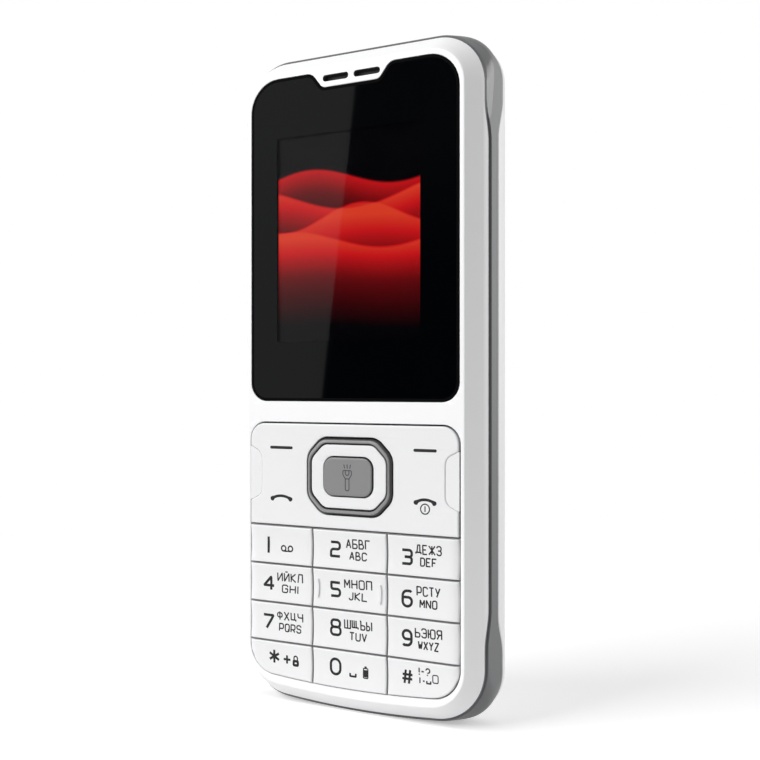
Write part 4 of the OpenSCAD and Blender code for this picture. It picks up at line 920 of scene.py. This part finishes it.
def signs(key, x, z, surface):
    """Lines of the small signs on the four keys without letters: a voice mailbox, a star, a plus and a lock,
    a blank and a battery, and a number sign with a few stops."""
    def line(*points, r=(), w=0.26):
        """Line through points about the key's middle."""
        return ink(bent(np.array(points) + [x, z], r), w, surface)

    def loop(dx, dz, r, w=0.26):
        """Circle about a point."""
        return ink(circle(x + dx, z + dz, r), w, surface, True)

    def edging(dx, dz, across, up, r, w):
        """Rounded rectangle about a point."""
        return ink(oblong(x + dx, z + dz, across, up, r), w, surface, True)

    if key == "key_1":
        return [loop(0.5, -0.55, 0.45), loop(1.9, -0.55, 0.45), line((0.5, -1.0), (1.9, -1.0))]
    if key == "key_star":
        mid, arm = np.array([-1.45, 0.45]), 1.12
        spokes = [arm * np.array([math.cos(a), math.sin(a)]) for a in np.radians([30, 90, 150])]
        return [*(line(mid - spoke, mid + spoke, w=0.42) for spoke in spokes),
                line((0.5, 0.2), (1.9, 0.2), w=0.38), line((1.2, -0.5), (1.2, 0.9), w=0.38),
                edging(3.0, -0.25, 0.85, 0.7, 0.12, 0.44),
                line((2.65, 0.1), (2.65, 0.95), (3.35, 0.95), (3.35, 0.1), r=(0.33, 0.33), w=0.25)]
    if key == "key_0":
        return [line((0.2, -0.5), (0.2, -1.0), (1.3, -1.0), (1.3, -0.5), r=(0.04, 0.04), w=0.32),
                edging(3.2, -0.2, 0.85, 1.6, 0.12, 0.2), line((3.2, -0.85), (3.2, 0.35), w=0.68),
                line((2.98, 0.82), (3.42, 0.82))]
    return [line((-3.2, -0.8), (-2.95, 1.4), w=0.38), line((-2.4, -0.8), (-2.15, 1.4), w=0.38),
            line((-3.6, -0.05), (-1.8, -0.05), w=0.38), line((-3.55, 0.65), (-1.75, 0.65), w=0.38),
            *lettering("!-?", 1.15, 1.9, x + 0.45, z + 1.45, surface),
            line((-0.4, -0.45), (-0.4, 0.45), w=0.22), line((0.15, -0.05), (0.45, -0.05)),
            line((0.85, 0.05), (0.85, -0.35), (1.55, -0.35), (1.55, 0.05), r=(0.04, 0.04)),
            edging(2.4, 0.5, 0.95, 1.25, 0.25, 0.18)]


for number, figure in enumerate((*"123456789", "star", "0", "hash")):
    name = f"key_{figure}"
    row, column = divmod(number, 3)
    last_row = row == 3
    low, high = box_mm(name)
    low, high = low + [key_trim, 0, 0 if last_row else key_trim], high - [key_trim, 0, key_trim]
    low[0] = -key_side if column == 0 else low[0]
    high[0] = key_side if column == 2 else high[0]
    dish_mid = last_row_mid if last_row else (low[2] + high[2]) / 2
    hollow = hollow_about(dish_mid)
    x, z, bottom = key_grid(low, high, last_row, 0.0)
    from_edge = np.minimum(np.minimum(x - low[0], high[0] - x), np.minimum(z - bottom, high[2] - z))
    inside = np.clip(key_edge_r - from_edge, 0, key_edge_r)
    t = hollow(x, z) + key_edge_r - np.sqrt(key_edge_r ** 2 - inside ** 2)
    t = t + key_fall * np.clip(1 - (key_side - np.abs(x)) / key_fall_w, 0, 1) ** 2
    top = np.stack([x, front_y + t, z], -1)
    wide_x, wide_z, _ = key_grid(low, high, last_row, ledge_w)
    flank = [key_rim(x, t, z), key_rim(x, np.full_like(x, ledge_t), z)]
    flank += [key_rim(wide_x, np.full_like(x, depth), wide_z) for depth in (ledge_t, high[1] - front_y)]
    # The key's wall below the ledge takes the second finish, grey painted shade in the gaps.
    piece(f"{name}_face", [skin(top, closed=False), (*skin(flank), 1), cap(flank[-1])],
          key_finishes, name, [name])
    middle = column_pitch * (column - 1)
    print_mid = dish_mid + (last_row_lift if last_row else 0.0)
    marks = []
    if figure in DIGITS:
        marks += digit(figure, middle + digit_shift, print_mid, hollow)
    if figure in LETTERS:
        spot = middle + letter_shift[column]
        upper, upper_w, lower, lower_w = LETTERS[figure]
        marks += lettering(upper, upper_h, upper_w, spot, print_mid + upper_up, hollow)
        marks += lettering(lower, lower_h, lower_w, spot, print_mid - lower_down, hollow)
    else:
        marks += signs(name, middle, print_mid, hollow)
    piece(f"{name}_print", marks, [key_ink], name, ())
    if name == "key_5":
        bars = [circle(middle + s * bar_x - bar_r, dish_mid, bar_r, -bar_turn, bar_turn) for s in (-1, 1)]
        piece("key_5_bars", [ink(bar, bar_line, hollow, up=bar_up) for bar in bars], [white_key_plastic],
              name, ())

# Key rubber and domes
# Milky silicone pads that push the keys back up, over a white film that holds the snap domes of thin steel
# and sticks to the board.
silicone = finish("silicone", srgb(222, 222, 220), 0.6, grain=2500.0, relief=0.1, spread=0.06)
dress(silicone, "function_rubber", "nav_rubber", "keypad_rubber")
dress(steel, "metal_domes")

# Main board
# A green fibreglass board with copper tracks under its lacquer, tin-plated shield cans,
# three card sockets of bent sheet and gold-plated spring contacts for the battery.
board_lacquer, tree, shader = bare("board_lacquer")
turned = put(tree, "ShaderNodeMapping", Vector=place(tree), Rotation=(math.pi / 2, 0, 0))
tracks = put(tree, "ShaderNodeTexBrick", Vector=turned.outputs["Vector"], Scale=260.0, Mortar_Size=0.05,
             Mortar_Smooth=0.3, Color1=srgb(20, 84, 48), Color2=srgb(26, 98, 56), Mortar=srgb(58, 132, 72))
feed(shader, Base_Color=tracks.outputs["Color"], Roughness=between(tree, noise(tree, 4000.0), 0.3, 0.42))
gold = finish("gold_plate", srgb(222, 178, 92), 0.3, grain=3000.0, relief=0.08, spread=0.12, metal=1.0)
dress(board_lacquer, "main_board")
dress(steel, "cpu_shield", "rf_shield", "sim_sockets", "card_socket")
dress(gold, "battery_contacts")

# Sockets and microphone
# A charging socket of folded steel, a headset socket moulded in black, and a microphone can in a soft boot,
# all at the lower end of the board.
black_moulding = finish("black_moulding", srgb(58, 58, 60), 0.55, grain=4000.0, relief=0.15, spread=0.1)
dress(steel, "usb_port", "microphone")
dress(black_moulding, "audio_jack")
dress(black_foam, "microphone_boot")

# Loudspeaker, motor, torch and antenna
# A round loudspeaker in a black basket, a vibration motor with a sintered weight, a white diode
# behind a clear moulded lens, and an antenna of plated sheet.
weight_metal = finish("sintered_weight", srgb(150, 148, 144), 0.5, grain=2500.0, relief=0.3, spread=0.2,
                      metal=1.0)
clear_lens, tree, shader = bare("clear_lens")
ripple = noise(tree, 1500.0)
feed(shader, Transmission_Weight=1.0, IOR=1.5, Roughness=between(tree, ripple, 0.02, 0.12),
     Base_Color=tint(tree, ripple, (0.95, 0.97, 0.97, 1), (1, 1, 1, 1)))
dress(black_moulding, "loudspeaker")
dress(steel, "vibration_motor")
dress(weight_metal, "motor_weight")
dress(white_film, "torch_led")
dress(clear_lens, "torch_lens")
dress(gold, "antenna")

# Side band
# A grey moulded frame that runs all round between the front shell and the back cover. It flares at the ends,
# where its corners are fuller than the front's, with a leaf-shaped facet on each upper corner that is
# glossier and painted a lighter grey as painted light. A dark joint runs along its front.
band_plastic = finish("band_plastic", srgb(104, 105, 106), 0.45, grain=7000.0, relief=0.08, spread=0.05)
joint_rubber = finish("joint_rubber", srgb(108, 108, 110), 0.7, relief=0.1, spread=0.1)
# Lighter grey on the leaf facets, along with their gloss: painted light on the facets.
leaf_polish_painted_light = finish("leaf_polish_painted_light", srgb(115, 116, 117), 0.25, relief=0.02, spread=0.03)
wall, band_edge = 1.3, 0.1
band_back, cheek_back = 7.5, 9.2
groove_side, groove_end, groove_d = 1.0, 0.55, 0.35
full_t, cover_share = 6.5, 0.55
leaf_low, leaf_high, leaf_w, leaf_least = 97.2, 110.6, 2.6, 0.15
leaf_skew, leaf_blunt, leaf_lean = 0.85, 0.65, 0.35
leaf_steps, plain_steps = 8, 14
ring_x, ring_z = body_ring(0, 0).T
groove_t = seam(ring_z, band_front, cheek_front)
groove_w = seam(ring_z, groove_side, groove_end)
face_t = groove_t + groove_w + band_edge
back_t = seam(ring_z, band_back, cheek_back)
# The leaf's width follows half a sine up its height, skewed by one power and blunted by another.
leaf_q = np.clip((ring_z - leaf_low) / (leaf_high - leaf_low), 0, 1)
leaf_share = np.maximum(np.sin(np.pi * leaf_q ** leaf_skew), 0) ** leaf_blunt
leaf_d = np.maximum(leaf_w * leaf_share, leaf_least)
on_leaf = leaf_d > leaf_least
lean = leaf_lean * leaf_share


def body_row(inset, t, share=0.0):
    """Outline of the body drawn in evenly by an inset, carried to a depth."""
    return at(body_ring(inset, inset, share), t)


def band_row(t, inset):
    """Row round the band at a depth, drawn in by an inset: its corners swell along a quarter of a sine from
    the joint to the fullest depth, and along another back to the cover's corners."""
    rise = np.sin(np.pi / 2 * np.clip((t - face_t) / (full_t - face_t), 0, 1))
    fall = 1 - np.cos(np.pi / 2 * np.clip((t - full_t) / (back_t - full_t), 0, 1))
    return body_row(inset, t, rise - (1 - cover_share) * fall)


face_rows = [band_row(face_t + leaf_d * f, lean * (1 - f)) for f in ramp(leaf_steps)]
plain_d = back_t - band_edge - face_t - leaf_d
face_rows += [band_row(face_t + leaf_d + f * plain_d, 0) for f in ramp(plain_steps)[1:]]
leaf_rows, plain_rows = face_rows[:leaf_steps], face_rows[leaf_steps - 1:]
joint_rows = [body_row(wall, groove_t), at(body_ring(groove_d, groove_d + band_step), groove_t),
              body_row(groove_d, groove_t + groove_w), body_row(band_edge + lean, groove_t + groove_w)]
front_rows = [joint_rows[-1], face_rows[0]]
back_rows = [face_rows[-1], body_row(band_edge, back_t, cover_share), body_row(wall, back_t)]
inner_rows = [back_rows[-1], joint_rows[0]]


def bow_height(x, inset):
    """Height of the bottom end's outline, drawn in by an inset."""
    r = bow_r - inset
    return bow_r - np.sqrt(r * r - x * x)


def end_hole(x, t, half_w, half_t, r, height_of):
    """Outline of a hole through an end of the band, on a surface whose height depends on x."""
    spot = oblong(x, t, 2 * half_w, 2 * half_t, r)
    return np.stack([spot[:, 0], front_y + spot[:, 1], height_of(spot[:, 0])], 1)


def round_hole(x, t, r):
    """Place, half sizes and corner radius of a round hole, which keeps a sliver of straight edge."""
    return x, t, r, r, r - 0.01


def round_rim(rows, first, last):
    """Points round the part of a grid between two columns."""
    rows = np.asarray(rows)
    return np.concatenate([rows[0, first:last + 1], rows[1:, last], rows[-1, first:last][::-1],
                           rows[1:-1, first][::-1]])


jack_r, lens_r, mic_r, usb_r, usb_gap = 2.38, 2.38, 0.5, 0.9, 0.1
bow_half_w, bow_top, top_slack = 13, 5, 1e-6
jack_x, jack_y = mid_mm("audio_jack")[:2]
usb_x, usb_y = mid_mm("usb_port")[:2]
usb_low, usb_high = box_mm("usb_port")
usb_half_w, usb_half_t = (usb_high - usb_low)[:2] / 2 + usb_gap
bottom_holes = [round_hole(jack_x, jack_y - front_y, jack_r),
                (usb_x, usb_y - front_y, usb_half_w, usb_half_t, usb_r),
                round_hole(0, mid_mm("microphone")[1] - front_y, mic_r)]
top_holes = [round_hole(0, mid_mm("torch_lens")[1] - front_y, lens_r)]
on_bow = np.flatnonzero((np.abs(ring_x) < bow_half_w) & (ring_z < bow_top))
on_top = np.flatnonzero(ring_z > body_h - top_slack)
skip = np.zeros(len(ring_x), bool)
band_patches = []
for span, holes, outer, inner in (
        (on_bow, bottom_holes, lambda x: bow_height(x, 0), lambda x: bow_height(x, wall)),
        (on_top, top_holes, lambda x: np.full_like(x, body_h), lambda x: np.full_like(x, body_h - wall))):
    first, last = span[0], span[-1]
    skip[first:last] = True
    mouths = [end_hole(*hole, outer) for hole in holes]
    throats = [end_hole(*hole, inner) for hole in holes]
    band_patches += [cap(round_rim(face_rows, first, last), *mouths, axes=(0, 1)),
                     cap(round_rim(inner_rows, first, last), *throats, axes=(0, 1))]
    band_patches += [skin(pair) for pair in zip(mouths, throats)]
band_patches += [(*skin(joint_rows), 1), skin(front_rows), (*skin(leaf_rows, skip=~on_leaf), 2),
                 skin(leaf_rows, skip=skip | on_leaf), skin(plain_rows, skip=skip), skin(back_rows),
                 skin(inner_rows, skip=skip)]
piece("side_band_shell", band_patches, [band_plastic, joint_rubber, leaf_polish_painted_light], "root", ["side_band"],
      crease=30)

# Inner housing
# The dark chassis behind the board: a moulded floor with the battery bay, the loudspeaker's ring and a lip
# for the cover, held to the front shell by six small screws.
dress(black_moulding, "rear_housing")
dress(steel, "housing_screws")

# Battery
# A flat cell in a metal can with a dark plastic cap at its upper end and a printed wrap, laid in its bay
# without tools.
battery_low, battery_high = box_mm("battery")
battery_mid = mid_mm("battery")
battery_size = (battery_high - battery_low)[[0, 2]]
battery_r, battery_edge_r = 1.4, 0.9
cap_l, cap_soft = 5.0, 0.2
mark_x, mark_half, mark_down, mark_line = 6.25, 1.25, 8.5, 0.5
label_size, label_down, label_r, label_line = (27, 31), 4.0, 1.5, 0.25


def battery_ring(inset):
    """Outline of the cell."""
    return oblong(battery_mid[0], battery_mid[2], *battery_size, battery_r, inset)


def from_behind(path, width, closed=False):
    """Printed line on the back of the cell, given as seen from behind."""
    points, faces = ink(path, width, flat(front_y - battery_high[1]), closed)
    return points * [-1, -1, 1] + [0, 2 * front_y, 0], faces


battery_rows = lip(battery_ring, battery_edge_r, battery_low[1] - front_y, 6)
battery_rows += [row * [1, -1, 1] + [0, 2 * battery_mid[1], 0] for row in battery_rows[::-1]]
cell_wrap, tree, shader = bare("cell_wrap")
up = put(tree, "ShaderNodeSeparateXYZ", Vector=place(tree)).outputs["Z"]
cap_low = battery_high[2] - cap_l
on_cap = between(tree, up, 0.0, 1.0, (cap_low - cap_soft) * MM, cap_low * MM)
wrap = tint(tree, noise(tree, 300.0, 3.0), srgb(172, 176, 180), srgb(186, 190, 194))
feed(shader, Base_Color=tint(tree, on_cap, wrap, srgb(34)),
     Roughness=between(tree, noise(tree, 5000.0), 0.35, 0.5))
piece("battery_cell", closed_up(battery_rows), [cell_wrap], "battery", ["battery"])
mark_z = battery_high[2] - mark_down
strokes = [[(s * mark_x - mark_half, mark_z), (s * mark_x + mark_half, mark_z)] for s in (-1, 1)]
strokes.append([(mark_x, mark_z - mark_half), (mark_x, mark_z + mark_half)])
label = oblong(0, battery_mid[2] - label_down, *label_size, label_r)
cell_marks = [from_behind(stroke, mark_line) for stroke in strokes]
cell_marks.append(from_behind(label, label_line, True))
piece("battery_marks", cell_marks, [key_ink], "battery", ())

# Battery cover
# The white back of the case: a thin moulded shell with a rounded edge that drops over the inner housing's
# lip, with sound slots for the loudspeaker and a nail notch at the bottom.
cover_back = box_mm("battery_cover")[1][1] - front_y
cover_t, cover_gap, cover_edge, back_r = 1.2, 0.1, 0.12, 4.0
nail_w, nail_d, nail_ease = 12.0, 0.9, 0.3
sound_w, sound_l, sound_pitch, sound_r, sound_edge_r = 0.9, 9.0, 2.0, 0.43, 0.1
speaker_x, speaker_z = mid_mm("speaker_mesh")[[0, 2]]
on_notch = ease((nail_w / 2 + nail_ease - np.abs(ring_x)) / (2 * nail_ease)) * (ring_z < bow_top)
cover_front = back_t + cover_gap + nail_d * on_notch
cover_rows = [body_row(cover_t, cover_front), body_row(cover_edge, cover_front, cover_share),
              body_row(0, cover_front + cover_edge, cover_share)]
for a in ramp(14, 0, np.pi / 2):
    inset = back_r * (1 - math.cos(a))
    t = np.maximum(cover_back - back_r + back_r * math.sin(a), cover_front + cover_edge * (1 + a))
    cover_rows.append(body_row(inset, t, cover_share))
lining_rows = [cover_rows[0]]
lining_r = back_r - cover_t
for a in ramp(8, 0, np.pi / 2):
    inset = cover_t + lining_r * (1 - math.cos(a))
    t = np.maximum(cover_back - back_r + lining_r * math.sin(a), cover_front + cover_edge * a)
    lining_rows.append(body_row(inset, t))
sound_slots = [mouth(lambda inset: oblong(x, speaker_z, sound_w, sound_l, sound_r, inset), -sound_edge_r,
                     cover_back, cover_back - cover_t) for x in speaker_x + sound_pitch * np.arange(-2, 3)]
piece("battery_cover_shell",
      [skin(cover_rows), skin(lining_rows), *(skin(rows) for rows in sound_slots),
       cap(cover_rows[-1], *(rows[0] for rows in sound_slots)),
       cap(lining_rows[-1], *(rows[-1] for rows in sound_slots))],
      [white_plastic], "battery_cover", ["battery_cover"])

# Studio
# A pale floor and a white background, a soft lamp in front and one behind, and grey and black flags that
# only the gloss sees: the edge that two of them share is the slanted line across the window.
scene = bpy.context.scene
scene.view_settings.view_transform = "Standard"
camera_data = bpy.data.cameras.new("camera")
camera_data.lens = 53.03
camera_data.sensor_width = 36.0
camera_data.shift_y = 0.0093
camera_data.clip_start = 0.01
camera = bpy.data.objects.new("camera", camera_data)
camera.location = (0.0974, -0.16495, 0.0549)
camera.rotation_euler = (math.pi / 2, 0, math.radians(30))
scene.collection.objects.link(camera)
scene.camera = camera


def seen_directly(tree):
    """1 on rays from the camera and on those mirrored or let through, 0 on the rays that light the object."""
    path = put(tree, "ShaderNodeLightPath").outputs
    straight = calc(tree, "MAXIMUM", path["Is Camera Ray"], path["Is Transmission Ray"])
    return calc(tree, "MAXIMUM", straight, path["Is Glossy Ray"])


sky_light = 0.36
world = bpy.data.worlds.new("studio")
world.use_nodes = True
scene.world = world
tree = world.node_tree
feed(tree.nodes["Background"], Color=(1, 1, 1, 1),
     Strength=between(tree, seen_directly(tree), sky_light, 1.0))


def panel(name, corners, material):
    """Flat four-sided piece of the studio."""
    mesh = bpy.data.meshes.new(name)
    mesh.from_pydata(np.array(corners) * MM, [], [(0, 1, 2, 3)])
    mesh.materials.append(material)
    obj = bpy.data.objects.new(name, mesh)
    scene.collection.objects.link(obj)
    return obj


floor_half, floor_glow, floor_near, floor_far = 3000, 0.38, 0.06, 0.26
floor_paper, tree, shader = bare("floor_paper")
feed(shader, Roughness=1.0, Specular_IOR_Level=0.0, Emission_Color=(1, 1, 1, 1),
     Base_Color=tint(tree, noise(tree, 40.0), srgb(238), srgb(239)),
     Emission_Strength=between(tree, seen_directly(tree), 0.0, floor_glow))
white_light = put(tree, "ShaderNodeEmission", Color=(1, 1, 1, 1),
                  Strength=between(tree, seen_directly(tree), sky_light, 1.0))
away = put(tree, "ShaderNodeVectorMath", Vector=place(tree))
away.operation = "LENGTH"
far = between(tree, away.outputs["Value"], 0.0, 1.0, floor_near, floor_far)
blend = tree.nodes.new("ShaderNodeMixShader")
for socket, value in zip(blend.inputs, (far, shader.outputs[0], white_light.outputs[0])):
    wire(socket, value)
feed(tree.nodes["Material Output"], Surface=blend.outputs[0])
floor_corners = ((-1, -1), (1, -1), (1, 1), (-1, 1))
panel("floor", [(x * floor_half, y * floor_half, 0) for x, y in floor_corners], floor_paper)


def flag(name, corners, level):
    """Flat panel that shows only in gloss."""
    mat, tree, _ = bare(name)
    glow = put(tree, "ShaderNodeEmission", Color=(level, level, level, 1), Strength=1.0)
    feed(tree.nodes["Material Output"], Surface=glow.outputs[0])
    obj = panel(name, corners, mat)
    obj.visible_camera = obj.visible_diffuse = obj.visible_shadow = False


flag_reach, flag_grey = 2.5, 0.33
flag_left, flag_right, flag_low, flag_high = -90, 60, -60, 170
line_low_x, line_high_x = -20, 9.3
side_near, side_far, side_h = 150, 420, 400


def mirrored(corners):
    """Places on the window, carried on to where the camera's view of them goes after the window has
    mirrored it."""
    spot = np.array([(x, front_y, z) for x, z in corners])
    return spot + flag_reach * (spot - np.array(camera.location) / MM) * [1, -1, 1]


line_low, line_high = (line_low_x, flag_low), (line_high_x, flag_high)
flag("grey_flag", mirrored([(flag_left, flag_low), line_low, line_high, (flag_left, flag_high)]), flag_grey)
flag("black_flag", mirrored([line_low, (flag_right, flag_low), (flag_right, flag_high), line_high]), 0.0)
flag("side_flag", [(side_near, -side_far, 0), (side_far, -side_near, 0), (side_far, -side_near, side_h),
                   (side_near, -side_far, side_h)], 0.0)
lamp_reach, lamp_size = 1.3, 0.9


def soft_lamp(name, azimuth, elevation, level):
    """Square lamp round the object, aimed at its middle. A lamp of power P at a distance R lights a facing
    surface with P / (pi R^2), and a lit level of pi is plain white, which is a level of 1 here."""
    data = bpy.data.lights.new(name, "AREA")
    data.size, data.energy = lamp_size, level * math.pi ** 2 * lamp_reach ** 2
    lamp = bpy.data.objects.new(name, data)
    a, e = math.radians(azimuth), math.radians(elevation)
    away = np.array([math.sin(a) * math.cos(e), -math.cos(a) * math.cos(e), math.sin(e)])
    lamp.location = np.array([0, 0, body_h * MM / 2]) + lamp_reach * away
    lamp.rotation_euler = (math.pi / 2 - e, 0, a)
    scene.collection.objects.link(lamp)


soft_lamp("key_lamp", -38, 30, 0.92)
soft_lamp("back_lamp", 135, 15, 0.42)
